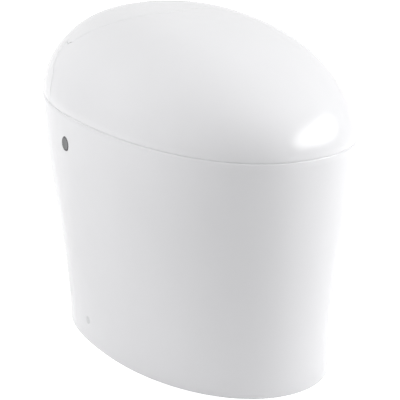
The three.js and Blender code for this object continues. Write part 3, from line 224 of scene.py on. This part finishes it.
def carve(target, tool, operation="DIFFERENCE"):
    """Take the tool from the target, or join or intersect them; the tool is used up."""
    cutter = target.modifiers.new("carve", "BOOLEAN")
    cutter.operation = operation
    cutter.solver = "MANIFOLD"
    cutter.object = tool
    graph = bpy.context.evaluated_depsgraph_get()
    mesh = bpy.data.meshes.new_from_object(target.evaluated_get(graph))
    target.modifiers.clear()
    target.data = mesh
    bpy.data.objects.remove(tool)
    return target


def fix_winding(piece):
    """Turn a body outwards if its outline ran the other way."""
    mesh = piece.data
    volume = 0
    for face in mesh.polygons:
        corner = mesh.vertices[face.vertices[0]].co
        volume += face.area * face.normal.dot(corner)
    if volume < 0:
        mesh.flip_normals()
    return piece


def mix(a, b, share):
    return a + (b - a) * share


def quarter_turn(steps):
    """Sine and cosine at even steps from 0 to 90 degrees."""
    bends = [math.pi / 2 * i / steps for i in range(steps + 1)]
    return [(math.sin(bend), math.cos(bend)) for bend in bends]


def signed_power(value, power):
    return math.copysign(abs(value) ** power, value)


def plan_point(turn, half, front_y, rear_y, centre_y, front_power, rear_power):
    """A point at a turn round an oval whose front and rear halves differ."""
    c, s = math.cos(turn), math.sin(turn)
    power = 2 / (front_power if s < 0 else rear_power)
    reach = centre_y - front_y if s < 0 else rear_y - centre_y
    return half * signed_power(c, power), centre_y + reach * signed_power(s, power)


def plan_ring(plan, count, z):
    return [(*plan_point(2 * math.pi * i / count, **plan), z) for i in range(count)]


def taper(depth, shape):
    """The share of an inset at a depth under the seam, from 0 at the seam to 1 at the floor."""
    bend, sway = shape
    return depth + bend * depth * (1 - depth) + sway * depth * (1 - depth) * (1 - 2 * depth)


def skin_plan(share, inset):
    """The outer skin's plan at a share of the seam's height, drawn in by an inset."""
    depth = 1 - share
    return {
        "half": HALF_WIDTH - SIDE_INSET * taper(depth, SIDE_TAPER) - inset,
        "front_y": NOSE_Y + FRONT_INSET * taper(depth, FRONT_TAPER) + inset,
        "rear_y": BACK_Y + TAIL_REACH - REAR_INSET * taper(depth, REAR_TAPER) - inset,
        "centre_y": mix(WIDEST_FLOOR_Y, WIDEST_SEAM_Y, share),
        "front_power": mix(*FRONT_POWERS, share),
        "rear_power": mix(*REAR_POWERS, share),
    }


def skin_ring(share, inset, z=None):
    """The plan at a share of the seam's height, laid at that height or at another one."""
    return plan_ring(skin_plan(share, inset), SKIN_TURNS, share * SEAM_Z if z is None else z)


def oval_ring(centre_y, half_width, half_length, z):
    """A ring of the bowl or of the seat's hole."""
    plan = {
        "half": half_width, "front_y": centre_y - half_length, "rear_y": centre_y + half_length,
        "centre_y": centre_y, "front_power": OVAL_FRONT_POWER, "rear_power": OVAL_REAR_POWER,
    }
    return plan_ring(plan, BOWL_TURNS, z)


def foot_draw(height):
    """How far the dome is drawn in at a height over its foot."""
    share = min(max(1 - height / FOOT_RISE, 0), 1)
    return FOOT_DRAW * (1 - math.sqrt(1 - share * share))


def dome(inset, foot_z=None):
    """The solid dome over the seam; its foot is straight, or drawn in if a foot height is given."""
    plan = skin_plan(1, inset)
    height = DOME_HEIGHT - inset
    if foot_z is None:
        rings = [skin_ring(1, inset, SEAM_Z - OVERRUN)]
    else:
        heights = [FOOT_BAND * (i / ROUND_STEPS) ** 2 for i in range(ROUND_STEPS + 1)]
        rings = [skin_ring(1, inset + foot_draw(up), foot_z + up) for up in heights]
    for row in range(1, DOME_RINGS):
        spread = math.cos(math.pi / 2 * row / DOME_RINGS)
        centre = plan["centre_y"] + (CREST_Y - plan["centre_y"]) * (1 - spread * spread)
        ring = []
        for i in range(SKIN_TURNS):
            turn = 2 * math.pi * i / SKIN_TURNS
            along = math.sin(turn) ** 2
            end = DOME_FRONT if math.sin(turn) < 0 else DOME_REAR
            p, q = mix(DOME_SIDE[0], end[0], along), mix(DOME_SIDE[1], end[1], along)
            z = SEAM_Z + height * (1 - spread ** p) ** (1 / q)
            drawn = 0 if foot_z is None else foot_draw(z - foot_z)
            x, y = plan_point(turn, **(skin_plan(1, inset + drawn) if drawn else plan))
            ring.append((spread * x, centre + spread * (y - plan["centre_y"]), z))
        rings.append(ring)
    return loft("dome", rings, (0, CREST_Y, SEAM_Z + height))


def drum(grow):
    """The round barrel about the lid's hinge that parts the fixed cover from the lid."""
    turns = [2 * math.pi * j / DRUM_SIDES for j in range(DRUM_SIDES)]
    rings = []
    for i in range(1, DRUM_STEPS):
        x = -math.cos(math.pi * i / DRUM_STEPS) * DRUM_HALF
        radius = DRUM_RADIUS * (1 - (abs(x) / DRUM_HALF) ** DRUM_POWER) + grow
        rings.append([(x, HINGE_Y + radius * math.cos(t), HINGE_Z + radius * math.sin(t)) for t in turns])
    return loft("drum", rings)


def boss_rods(grow):
    """The two hinge bosses as rods that run out past the flanks."""
    left = rod("x", BOSS_RADIUS + grow, -WIDE, -BOSS_START + grow, HINGE_Y, HINGE_Z)
    return carve(left, rod("x", BOSS_RADIUS + grow, BOSS_START - grow, WIDE, HINGE_Y, HINGE_Z), "UNION")


def lid_zone(grow):
    """Everything on the lid's side of the parting line, grown towards the cover."""
    low_z, high_z = SEAM_Z - OVERRUN, SEAM_Z + DOME_HEIGHT + OVERRUN

    def edge_y(z):
        return PARTING_BOTTOM_Y + (z - SEAM_Z) * PARTING_LEAN + grow

    zone = prism([
        (NOSE_Y - OVERRUN, low_z), (edge_y(low_z), low_z), (edge_y(HINGE_Z), HINGE_Z),
        (PARTING_TOP_Y + grow, PARTING_TOP_Z), (PARTING_TOP_Y + grow, high_z), (NOSE_Y - OVERRUN, high_z),
    ], -WIDE, WIDE)
    reach = WIDE + OVERRUN
    lobes = rod("x", LOBE_RADIUS + grow, -reach, reach, HINGE_Y, HINGE_Z, WIDE_ROD_SIDES)
    carve(zone, lobes, "UNION")
    return carve(zone, drum(-grow))


def make_lid():
    """The domed shell with its hinge bosses and the shelves for its bumpers."""
    lid = carve(dome(0, SEAM_Z + SEAM_GAP), dome(LID_WALL))
    bosses = carve(boss_rods(0), dome(LID_WALL / 2), "INTERSECT")
    carve(lid, bosses, "UNION")
    carve(lid, carve(lid_zone(0), boss_rods(0), "UNION"), "INTERSECT")
    low = SEAT_TOP_Z + LID_BUMPER_HEIGHT
    reach = LID_BUMPER_X - SHELF_HALF
    front, back = LID_BUMPER_Y - SHELF_HALF, LID_BUMPER_Y + SHELF_HALF
    for x0, x1 in ((-WIDE, -reach), (reach, WIDE)):
        shelf = carve(block(x0, x1, front, back, low, low + SHELF_THICK), dome(LID_WALL / 2), "INTERSECT")
        carve(lid, shelf, "UNION")
    bore = SHAFT_END + FIT_GAP
    return carve(lid, rod("x", SHAFT_RADIUS + FIT_GAP, -bore, bore, HINGE_Y, HINGE_Z))


def cover_region(inset):
    """The cover's outer form, or its inner one if an inset is given."""
    top = SEAM_Z + DOME_HEIGHT + OVERRUN
    body = dome(inset) if inset else dome(0, SEAM_Z + SEAM_GAP)
    low = SEAM_Z - OVERRUN - OVERRUN
    carve(body, block(-WIDE, WIDE, COVER_FRONT_Y + inset, BACK_Y - inset, low, top), "INTERSECT")
    return carve(body, lid_zone(PARTING_GAP + inset))


def make_cover():
    """The fixed shell behind the lid, with its openings."""
    cover = carve(cover_region(0), cover_region(COVER_WALL))
    front = COVER_FRONT_Y - OVERRUN
    carve(cover, block(SPOUT_LEFT, SPOUT_RIGHT, front, COVER_FRONT_Y + SPOUT_DEPTH, SEAM_Z, SPOUT_TOP))
    carve(cover, block(-TONGUE_HALF, TONGUE_HALF, front, TONGUE_BACK_Y, SEAM_Z, TONGUE_TOP_Z))
    carve(cover, rod("y", EYE_RADIUS + FIT_GAP, front, COVER_FRONT_Y + COVER_WALL + FIT_GAP, 0, EYE_Z))
    carve(cover, rod("x", SHAFT_RADIUS + FIT_GAP, -BOSS_START, BOSS_START, HINGE_Y, HINGE_Z))
    return carve(cover, boss_rods(PARTING_GAP))


def bowl_row(height):
    """Width, length and shift shares of the bowl at a height share, on a smooth curve through its rows."""
    rows = BOWL_SHARES
    at = max(i for i in range(len(rows) - 1) if rows[i][0] <= height or i == 0)
    before, low, high, after = rows[max(at - 1, 0)], rows[at], rows[at + 1], rows[min(at + 2, len(rows) - 1)]
    span = high[0] - low[0]
    t = (height - low[0]) / span
    keep_low, keep_high = 2 * t**3 - 3 * t**2 + 1, -2 * t**3 + 3 * t**2
    push_low, push_high = t**3 - 2 * t**2 + t, t**3 - t**2
    values = []
    for k in (1, 2, 3):
        start = (high[k] - before[k]) / max(high[0] - before[0], span) * span
        end = (after[k] - low[k]) / max(after[0] - low[0], span) * span
        values.append(keep_low * low[k] + push_low * start + keep_high * high[k] + push_high * end)
    return values


def bowl_ring(height, grow, z=None):
    width, length, shift = bowl_row(min(height, 1))
    centre_y = BOWL_Y + BOWL_HALF_LENGTH * shift
    z = mix(BOWL_FLOOR_Z, SEAM_Z, height) if z is None else z
    return oval_ring(centre_y, BOWL_HALF_WIDTH * width + grow, BOWL_HALF_LENGTH * length + grow, z)


def bowl(grow, top_z):
    """The bowl's outer form if it is grown, and otherwise its hollow, with a rounded lip."""
    rings = [bowl_ring(0, grow, BOWL_FLOOR_Z - grow)] if grow else []
    lip_share = 1 - BOWL_LIP / (SEAM_Z - BOWL_FLOOR_Z)
    rings += [bowl_ring(lip_share * i / BOWL_ROWS, grow) for i in range(BOWL_ROWS + 1)]
    if grow:
        rings.append(bowl_ring(1, grow, top_z))
        return loft("bowl", rings)
    for s, c in quarter_turn(ROUND_STEPS)[1:]:
        rings.append(bowl_ring(1, BOWL_LIP * (1 - c), SEAM_Z - BOWL_LIP + BOWL_LIP * s))
    rings.append(bowl_ring(1, BOWL_LIP, top_z))
    return loft("bowl", rings)


def curve_through(points, steps):
    """Evenly parted points on a smooth curve through the given ones."""
    vectors = [Vector(p) for p in points]
    ends = [2 * vectors[0] - vectors[1], *vectors, 2 * vectors[-1] - vectors[-2]]
    path = []
    for i in range(steps + 1):
        along = i / steps * (len(vectors) - 1)
        at = min(int(along), len(vectors) - 2)
        t = along - at
        a, b, c, d = ends[at:at + 4]
        bend = 2 * a - 5 * b + 4 * c - d
        twist = 3 * b - a - 3 * c + d
        path.append(0.5 * (2 * b + (c - a) * t + bend * t**2 + twist * t**3))
    return path


def trap(radius, reach=0):
    """The trapway's tube; a reach carries its end on below the outlet."""
    outlet_y = BACK_Y - ROUGH_IN
    points = [(0, outlet_y + along * TRAP_RUN, TRAP_END_Z + up * TRAP_RISE) for along, up in TRAP_SHARES]
    path = curve_through(points, TRAP_STEPS)
    if reach:
        path.append(path[-1] - Vector((0, 0, reach)))
    across = Vector((1, 0, 0))
    turns = [2 * math.pi * j / TRAP_SIDES for j in range(TRAP_SIDES)]
    rings = []
    for i, centre in enumerate(path):
        ahead = (path[min(i + 1, len(path) - 1)] - path[max(i - 1, 0)]).normalized()
        up = ahead.cross(across)
        rings.append([tuple(centre + radius * (math.cos(t) * across + math.sin(t) * up)) for t in turns])
    return fix_winding(loft("trap", rings))


def notch(grow, top_z):
    """The sloped notch behind the bowl that the wand and the dryer's air come through."""
    half = NOTCH_HALF_WIDTH + grow
    return fix_winding(prism([
        (NOTCH_FRONT_Y, top_z), (NOTCH_FRONT_Y, NOTCH_FRONT_Z - grow),
        (NOTCH_BACK_Y + grow, NOTCH_BACK_Z - grow), (NOTCH_BACK_Y + grow, top_z),
    ], -half, half))


def skirt():
    """The ceramic's outer form, with a rounded foot and rim and a flat back."""
    rings = []
    for s, c in quarter_turn(ROUND_STEPS)[:-1]:
        z = FLOOR_ROUND * (1 - c)
        rings.append(skin_ring(z / SEAM_Z, FLOOR_ROUND * (1 - s), z))
    straight = SEAM_Z - RIM_EDGE
    rings += [skin_ring(mix(FLOOR_ROUND, straight, i / SKIN_RINGS) / SEAM_Z, 0) for i in range(SKIN_RINGS)]
    for s, c in quarter_turn(ROUND_STEPS):
        z = straight + RIM_EDGE * s ** RIM_POWER
        rings.append(skin_ring(z / SEAM_Z, RIM_EDGE * (1 - c ** RIM_POWER), z))
    before_wall = block(-WIDE, WIDE, NOSE_Y - OVERRUN, BACK_Y, -OVERRUN, SEAM_Z + OVERRUN)
    return carve(loft("ceramic", rings), before_wall, "INTERSECT")


def skirt_hollow(top):
    """The hollow inside the skirt, open at the floor."""
    shares = [top / SEAM_Z * i / HOLLOW_RINGS for i in range(HOLLOW_RINGS + 1)]
    hollow = loft("hollow", [skin_ring(0, WALL, -OVERRUN)] + [skin_ring(share, WALL) for share in shares])
    return carve(hollow, block(-WIDE, WIDE, NOSE_Y, BACK_Y - WALL, -2 * OVERRUN, SEAM_Z), "INTERSECT")


def cut_arch(body):
    """Cut the service arch through the back wall."""
    front, back = BACK_Y / 2 + ARCH_HALF_WIDTH, BACK_Y + OVERRUN
    straight = ARCH_HEIGHT - ARCH_HALF_WIDTH
    carve(body, block(-ARCH_HALF_WIDTH, ARCH_HALF_WIDTH, front, back, -OVERRUN, straight))
    carve(body, rod("y", ARCH_HALF_WIDTH, front, back, 0, straight, WIDE_ROD_SIDES))


def make_ceramic():
    """The skirt with the bowl, trapway, notch, well and arch, and the holes in its flanks."""
    top, middle, above = SEAM_Z - DECK, SEAM_Z - DECK / 2, SEAM_Z + OVERRUN
    body = carve(skirt(), skirt_hollow(top))
    for part in (bowl(BOWL_WALL, middle), trap(TRAP_RADIUS), notch(NOTCH_WALL, middle)):
        carve(body, part, "UNION")
    for part in (bowl(0, above), trap(TRAP_BORE, WALL), notch(0, above)):
        carve(body, part)
    well_floor = top - FIT_GAP
    carve(body, block(-WELL_HALF_WIDTH, WELL_HALF_WIDTH, WELL_FRONT_Y, WELL_BACK_Y, well_floor, above))
    carve(body, block(-NOTCH_HALF_WIDTH, NOTCH_HALF_WIDTH, NOTCH_FRONT_Y, WELL_BACK_Y, SILL_Z, above))
    cut_arch(body)
    inner = HALF_WIDTH / 2
    for x0, x1 in ((-WIDE, -inner), (inner, WIDE)):
        carve(body, rod("x", FIXING_RADIUS + FIT_GAP, x0, x1, FIXING_Y, FIXING_Z))
    hole = BUTTON_RADIUS + BUTTON_RING + FIT_GAP
    return carve(body, rod("x", hole, -WIDE, -inner, BUTTON_Y, BUTTON_Z, HOLE_SIDES))


def seat_blank(bottom):
    """The seat's outer form, with a rounded lower edge and a crowned top."""
    rings = []
    for s, c in quarter_turn(ROUND_STEPS):
        rings.append(skin_ring(1, SEAT_INSET + SEAT_EDGE * (1 - s), bottom + SEAT_EDGE * (1 - c)))
    for s, c in quarter_turn(2 * ROUND_STEPS):
        rings.append(skin_ring(1, SEAT_INSET + SEAT_CROWN * (1 - c), SEAT_TOP_Z - SEAT_CROWN * (1 - s)))
    return loft("seat", rings)


def seat_hole(bottom):
    """The seat's opening, flared at the top and eased at the bottom."""
    def hole_ring(z, grow):
        return oval_ring(BOWL_Y, SEAT_HOLE_WIDTH + grow, SEAT_HOLE_LENGTH + grow, z)

    rings = [hole_ring(bottom - OVERRUN, SEAT_EDGE), hole_ring(bottom, SEAT_EDGE)]
    rings.append(hole_ring(bottom + SEAT_EDGE, 0))
    for s, c in quarter_turn(2 * ROUND_STEPS):
        rings.append(hole_ring(SEAT_TOP_Z - SEAT_FLARE * (1 - s), SEAT_FLARE * (1 - c)))
    rings.append(hole_ring(SEAT_TOP_Z + OVERRUN, SEAT_FLARE))
    return loft("hole", rings)


def make_seat():
    """The seat ring, cut off straight at the back, with two hinge ears."""
    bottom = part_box("seat")[0][2]
    seat = carve(seat_blank(bottom), seat_hole(bottom))
    carve(seat, block(-WIDE, WIDE, NOSE_Y - OVERRUN, SEAT_BACK_Y, 0, SEAM_Z + DOME_HEIGHT), "INTERSECT")
    for side in (-1, 1):
        x0, x1 = sorted((side * EAR_INNER, side * EAR_OUTER))
        foot = block(x0, x1, SEAT_HINGE_Y - EAR_FOOT, SEAT_HINGE_Y, SEAT_TOP_Z - SEAT_CROWN, SEAT_HINGE_Z)
        ear = carve(rod("x", EAR_RADIUS, x0, x1, SEAT_HINGE_Y, SEAT_HINGE_Z), foot, "UNION")
        carve(seat, ear, "UNION")
        carve(seat, rod("x", PIN_RADIUS + FIT_GAP, x0 - OVERRUN, x1 + OVERRUN, SEAT_HINGE_Y, SEAT_HINGE_Z))
    return seat


def turned(name, profile, face_x, outward, y, z, is_ring=False):
    """A profile of (radius, way out of the face) turned about an axis along X; a ring's is a closed loop."""
    points, faces = [], []
    for reach, along in profile:
        for j in range(TURNED_SIDES):
            turn = 2 * math.pi * j / TURNED_SIDES
            points.append((face_x + outward * along, y + reach * math.cos(turn), z + reach * math.sin(turn)))
    rows = len(profile)
    for row in range(rows if is_ring else rows - 1):
        low, high = row * TURNED_SIDES, (row + 1) % rows * TURNED_SIDES
        for j in range(TURNED_SIDES):
            after = (j + 1) % TURNED_SIDES
            faces.append((low + j, low + after, high + after, high + j))
    if not is_ring:
        faces.append(tuple(reversed(range(TURNED_SIDES))))
        faces.append(tuple(range((rows - 1) * TURNED_SIDES, rows * TURNED_SIDES)))
    return fix_winding(mesh_object(name, points, faces))


def dished_profile(radius, depth, rim, dish):
    """A cap with a rounded rim and a slightly dished face."""
    profile = [(radius, -depth), (radius, -rim)]
    profile += [(radius - rim * (1 - c), -rim + rim * s) for s, c in quarter_turn(ROUND_STEPS)[1:]]
    return profile + [((radius - rim) * share, -dish * (1 - share * share)) for share in DISH_SHARES]


def ring_profile(inner, outer, depth, rim):
    """A ring with both front edges rounded."""
    profile = [(inner, -depth), (outer, -depth), (outer, -rim)]
    profile += [(outer - rim * (1 - c), -rim + rim * s) for s, c in quarter_turn(ROUND_STEPS)[1:]]
    return profile + [(inner + rim * (1 - s), -rim + rim * c) for s, c in quarter_turn(ROUND_STEPS)]


def make_button_face():
    low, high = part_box("flush_button")
    profile = dished_profile(BUTTON_RADIUS, high[0] - low[0] - BUTTON_STEM, BUTTON_RIM, BUTTON_DISH)
    return turned("button_face", profile, low[0], -1, BUTTON_Y, BUTTON_Z)


def make_button_trim():
    low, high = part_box("button_ring")
    inner, outer = BUTTON_RADIUS + BUTTON_GAP, BUTTON_RADIUS + BUTTON_RING
    profile = ring_profile(inner, outer, high[0] - low[0], TRIM_RIM)
    return turned("button_trim", profile, low[0], -1, BUTTON_Y, BUTTON_Z, True)


def make_side_cap(name, node, side):
    low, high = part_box(node)
    face_x = low[0] if side < 0 else high[0]
    profile = dished_profile(FIXING_RADIUS, high[0] - low[0], FIXING_RIM, FIXING_DISH)
    return turned(name, profile, face_x, side, FIXING_Y, FIXING_Z)


def new_material(name, color, roughness, metallic=0.0):
    material = bpy.data.materials.new(name)
    material.use_nodes = True
    shader = material.node_tree.nodes["Principled BSDF"]
    shader.inputs["Base Color"].default_value = (*color, 1)
    shader.inputs["Roughness"].default_value = roughness
    shader.inputs["Metallic"].default_value = metallic
    return material


def add_node(tree, kind, **inputs):
    node = tree.nodes.new(kind)
    for key, value in inputs.items():
        node.inputs[key.replace("_", " ")].default_value = value
    return node


def add_math(tree, operation, first, second):
    node = add_node(tree, "ShaderNodeMath")
    node.operation = operation
    tree.links.new(first, node.inputs[0])
    tree.links.new(second, node.inputs[1])
    return node.outputs["Value"]


def object_place(tree):
    return add_node(tree, "ShaderNodeTexCoord").outputs["Object"]


def add_noise(tree, scale, detail, stretch=None):
    where = object_place(tree)
    if stretch:
        mapping = add_node(tree, "ShaderNodeMapping", Scale=stretch)
        tree.links.new(where, mapping.inputs["Vector"])
        where = mapping.outputs["Vector"]
    noise = add_node(tree, "ShaderNodeTexNoise", Scale=scale, Detail=detail)
    tree.links.new(where, noise.inputs["Vector"])
    return noise.outputs["Fac"]


def map_range(tree, source, start, end, low, high):
    """Carry a value from the range start to end over to the range low to high."""
    spread = add_node(tree, "ShaderNodeMapRange", From_Min=start, From_Max=end, To_Min=low, To_Max=high)
    tree.links.new(source, spread.inputs["Value"])
    return spread.outputs["Result"]


def vary_roughness(material, low, high, scale, detail, stretch=None):
    tree = material.node_tree
    noise = add_noise(tree, scale, detail, stretch)
    spread = map_range(tree, noise, SPREAD_LOW, SPREAD_HIGH, low, high)
    tree.links.new(spread, tree.nodes["Principled BSDF"].inputs["Roughness"])


def vary_color(material, first, second, scale, detail):
    tree = material.node_tree
    noise = add_noise(tree, scale, detail)
    ramp = add_node(tree, "ShaderNodeValToRGB")
    for stop, position, color in zip(ramp.color_ramp.elements, (RAMP_LOW, RAMP_HIGH), (first, second)):
        stop.position = position
        stop.color = (*color, 1)
    tree.links.new(noise, ramp.inputs["Fac"])
    tree.links.new(ramp.outputs["Color"], tree.nodes["Principled BSDF"].inputs["Base Color"])


def add_bump(material, source, height):
    tree = material.node_tree
    bump = add_node(tree, "ShaderNodeBump", Strength=1.0, Distance=height)
    tree.links.new(source, bump.inputs["Height"])
    tree.links.new(bump.outputs["Normal"], tree.nodes["Principled BSDF"].inputs["Normal"])


def add_relief(material, height, scale, detail, stretch=None):
    """A fine unevenness of the surface, as high as the height given."""
    add_bump(material, add_noise(material.node_tree, scale, detail, stretch), height)


def shade(color, step):
    """A colour a step lighter or darker."""
    return tuple(max(0.0, min(1.0, part + step)) for part in color)


def make_glaze():
    white, step = (0.81, 0.81, 0.825), 0.008
    glaze = new_material("glaze_white", white, roughness=0.2)
    vary_color(glaze, shade(white, -step), shade(white, step), scale=5, detail=3)
    vary_roughness(glaze, 0.17, 0.23, scale=9, detail=3)
    add_relief(glaze, height=0.0004, scale=14, detail=2)
    return glaze


def make_gloss_plastic():
    white, step = (0.82, 0.82, 0.835), 0.006
    gloss = new_material("plastic_gloss_white", white, roughness=0.22)
    vary_color(gloss, shade(white, -step), shade(white, step), scale=7, detail=3)
    vary_roughness(gloss, 0.2, 0.245, scale=30, detail=4)
    add_relief(gloss, height=0.00001, scale=420, detail=2)
    return gloss


def make_satin_plastic():
    satin = new_material("plastic_satin_white", (0.77, 0.775, 0.78), roughness=0.5)
    vary_color(satin, (0.755, 0.76, 0.765), (0.785, 0.79, 0.8), scale=40, detail=5)
    add_relief(satin, height=0.00008, scale=2200, detail=3)
    return satin


def make_rubber():
    rubber = new_material("rubber_pale", (0.46, 0.465, 0.47), roughness=0.85)
    vary_color(rubber, (0.4, 0.405, 0.41), (0.5, 0.505, 0.51), scale=120, detail=6)
    add_relief(rubber, height=0.00015, scale=1400, detail=5)
    return rubber


def make_steel():
    """Steel that is brushed along X."""
    steel = new_material("steel_brushed", (0.5, 0.51, 0.53), roughness=0.3, metallic=1.0)
    vary_roughness(steel, 0.22, 0.42, scale=900, detail=3, stretch=(0.05, 1, 1))
    add_relief(steel, height=0.00003, scale=1800, detail=2, stretch=(0.04, 1, 1))
    return steel


def make_dark_plastic():
    dark = new_material("plastic_dark", (0.035, 0.038, 0.043), roughness=0.5)
    vary_color(dark, (0.03, 0.033, 0.038), (0.045, 0.048, 0.054), scale=300, detail=4)
    add_relief(dark, height=0.0001, scale=2600, detail=4)
    return dark


def make_smoked_lens():
    smoke = new_material("lens_smoke", (0.03, 0.032, 0.036), roughness=0.08)
    vary_roughness(smoke, 0.06, 0.14, scale=200, detail=3)
    return smoke


def make_grey_plastic():
    grey = new_material("plastic_grey", (0.138, 0.141, 0.145), roughness=0.4)
    vary_color(grey, (0.13, 0.133, 0.137), (0.147, 0.15, 0.154), scale=90, detail=4)
    add_relief(grey, height=0.00006, scale=1800, detail=3)
    return grey


# The trim is plated metal, but its dark colour is painted shade: it stands in for the shade in the button's
# recess.
def make_trim_chrome_painted_shade():
    chrome = new_material("ring_painted_shade", (0.12, 0.121, 0.126), roughness=0.2, metallic=1.0)
    vary_roughness(chrome, 0.16, 0.26, scale=500, detail=4)
    return chrome


def make_board():
    """A circuit board's green mask, with a pattern of raised tracks."""
    green = (0.02, 0.14, 0.055)
    board = new_material("board_mask", green, roughness=0.45)
    tree = board.node_tree
    bricks = add_node(tree, "ShaderNodeTexBrick", Scale=140, Mortar_Size=0.04, Color1=(*green, 1),
                      Color2=(0.025, 0.17, 0.07, 1), Mortar=(0.05, 0.26, 0.11, 1))
    tree.links.new(object_place(tree), bricks.inputs["Vector"])
    tree.links.new(bricks.outputs["Color"], tree.nodes["Principled BSDF"].inputs["Base Color"])
    add_bump(board, bricks.outputs["Fac"], height=0.00005)
    return board


materials = {
    "ceramic": make_glaze(),
    "gloss_white": make_gloss_plastic(),
    "matt_white": make_satin_plastic(),
    "rubber": make_rubber(),
    "steel": make_steel(),
    "dark_plastic": make_dark_plastic(),
    "smoke": make_smoked_lens(),
    "grey_plastic": make_grey_plastic(),
    "chrome_ring": make_trim_chrome_painted_shade(),
    "board_green": make_board(),
}
replaced = set()


def place(name, piece, node, body, slot_name):
    """Name a finished piece, smooth and dress it, and let it stand for its CAD node."""
    piece.name = name
    piece.data.name = name
    piece.data.shade_smooth()
    piece.data.set_sharp_from_angle(angle=math.radians(SMOOTH_ANGLE))
    piece.data.materials.clear()
    piece.data.materials.append(materials[slot_name])
    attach(piece, body)
    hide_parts(node)
    replaced.add(node)


place("ceramic_body", make_ceramic(), "ceramic_base", "base", "ceramic")
place("lid_shell", make_lid(), "lid", "lid", "gloss_white")
place("cover_shell", make_cover(), "rear_cover", "base", "gloss_white")
place("seat_ring", make_seat(), "seat", "seat", "gloss_white")
place("button_face", make_button_face(), "flush_button", "flush_button", "grey_plastic")
place("button_trim", make_button_trim(), "button_ring", "base", "chrome_ring")
for word, side in (("left", -1), ("right", 1)):
    name, node = f"side_cap_{word}", f"fixing_cap_{word}"
    place(name, make_side_cap(name, node, side), node, "base", "matt_white")


def dress_frame():
    """Give the frame's other solids their materials and a fine bevel on their edges."""
    slots = {part["node"]: part["material_slot"] for part in frame["record"]["subparts"]}
    for node, piece in frame["nodes"].items():
        if node in replaced:
            continue
        for slot in piece.material_slots:
            slot.material = materials[slots[node]]
        edge = piece.modifiers.new("edge", "BEVEL")
        edge.width = EDGE_WIDTH
        edge.segments = EDGE_SEGMENTS
        edge.limit_method = "ANGLE"
        edge.angle_limit = math.radians(EDGE_ANGLE)


def background_rays(tree):
    """A value of 1 for rays that see or mirror the background, and 0 for those that light the object."""
    path = add_node(tree, "ShaderNodeLightPath")
    either = add_math(tree, "MAXIMUM", path.outputs["Is Camera Ray"], path.outputs["Is Glossy Ray"])
    return add_math(tree, "MAXIMUM", either, path.outputs["Is Transmission Ray"])


def make_floor():
    """A pale floor that is white where it is lit and keeps the shadow."""
    corners = [(-FLOOR_REACH, -FLOOR_REACH, 0), (FLOOR_REACH, -FLOOR_REACH, 0),
               (FLOOR_REACH, FLOOR_REACH, 0), (-FLOOR_REACH, FLOOR_REACH, 0)]
    floor = mesh_object("floor", corners, [(0, 1, 2, 3)])
    material = new_material("floor_white", FLOOR_COLOR, FLOOR_ROUGHNESS)
    tree = material.node_tree
    distance = add_node(tree, "ShaderNodeVectorMath")
    distance.operation = "LENGTH"
    tree.links.new(object_place(tree), distance.inputs[0])
    (near, near_level), (far, far_level) = GLOW_NEAR, GLOW_FAR
    level = map_range(tree, distance.outputs["Value"], near, far, near_level, far_level)
    glow = add_node(tree, "ShaderNodeEmission")
    tree.links.new(add_math(tree, "MULTIPLY", background_rays(tree), level), glow.inputs["Strength"])
    both = add_node(tree, "ShaderNodeAddShader")
    tree.links.new(tree.nodes["Principled BSDF"].outputs[0], both.inputs[0])
    tree.links.new(glow.outputs[0], both.inputs[1])
    tree.links.new(both.outputs[0], tree.nodes["Material Output"].inputs["Surface"])
    floor.data.materials.append(material)


def make_world():
    """White behind the object, and a soft even level on it."""
    world = bpy.data.worlds.new("studio")
    bpy.context.scene.world = world
    world.use_nodes = True
    tree = world.node_tree
    back = tree.nodes["Background"]
    back.inputs["Color"].default_value = (1, 1, 1, 1)
    level = map_range(tree, background_rays(tree), 0, 1, WORLD_LEVEL, 1)
    tree.links.new(level, back.inputs["Strength"])


def away_from(azimuth, elevation):
    """The direction to a place at an azimuth from the front and an elevation, both in degrees."""
    turn, lift = math.radians(azimuth), math.radians(elevation)
    return Vector((math.sin(turn) * math.cos(lift), -math.cos(turn) * math.cos(lift), math.sin(lift)))


def add_lamp(name, azimuth, elevation, size, power, mirrored):
    """A round softbox on a sphere about the object; only a mirrored one shows in the gloss."""
    lamp = bpy.data.lights.new(name, "AREA")
    lamp.shape = "ELLIPSE"
    lamp.size, lamp.size_y = size
    lamp.energy = power
    holder = bpy.data.objects.new(name, lamp)
    holder.visible_glossy = mirrored
    away = away_from(azimuth, elevation)
    holder.location = Vector(LAMP_CENTRE) + LAMP_DISTANCE * away
    holder.rotation_euler = (-away).to_track_quat("-Z", "Y").to_euler()
    bpy.context.scene.collection.objects.link(holder)


def make_camera():
    back = away_from(CAMERA_AZIMUTH, CAMERA_ELEVATION)
    azimuth = math.radians(CAMERA_AZIMUTH)
    right = Vector((math.cos(azimuth), math.sin(azimuth), 0))
    up = back.cross(right)
    camera = bpy.data.cameras.new("camera")
    camera.lens = CAMERA_LENS
    camera.sensor_width = CAMERA_SENSOR
    camera.shift_x = CAMERA_SHIFT_X
    holder = bpy.data.objects.new("camera", camera)
    turn = Matrix((right, up, back)).transposed().to_4x4()
    holder.matrix_world = Matrix.Translation(Vector(CAMERA_TARGET) + CAMERA_DISTANCE * back) @ turn
    bpy.context.scene.collection.objects.link(holder)
    bpy.context.scene.camera = holder


dress_frame()
make_floor()
make_world()
for lamp_row in LAMPS:
    add_lamp(*lamp_row)
make_camera()
bpy.context.scene.view_settings.view_transform = "Standard"
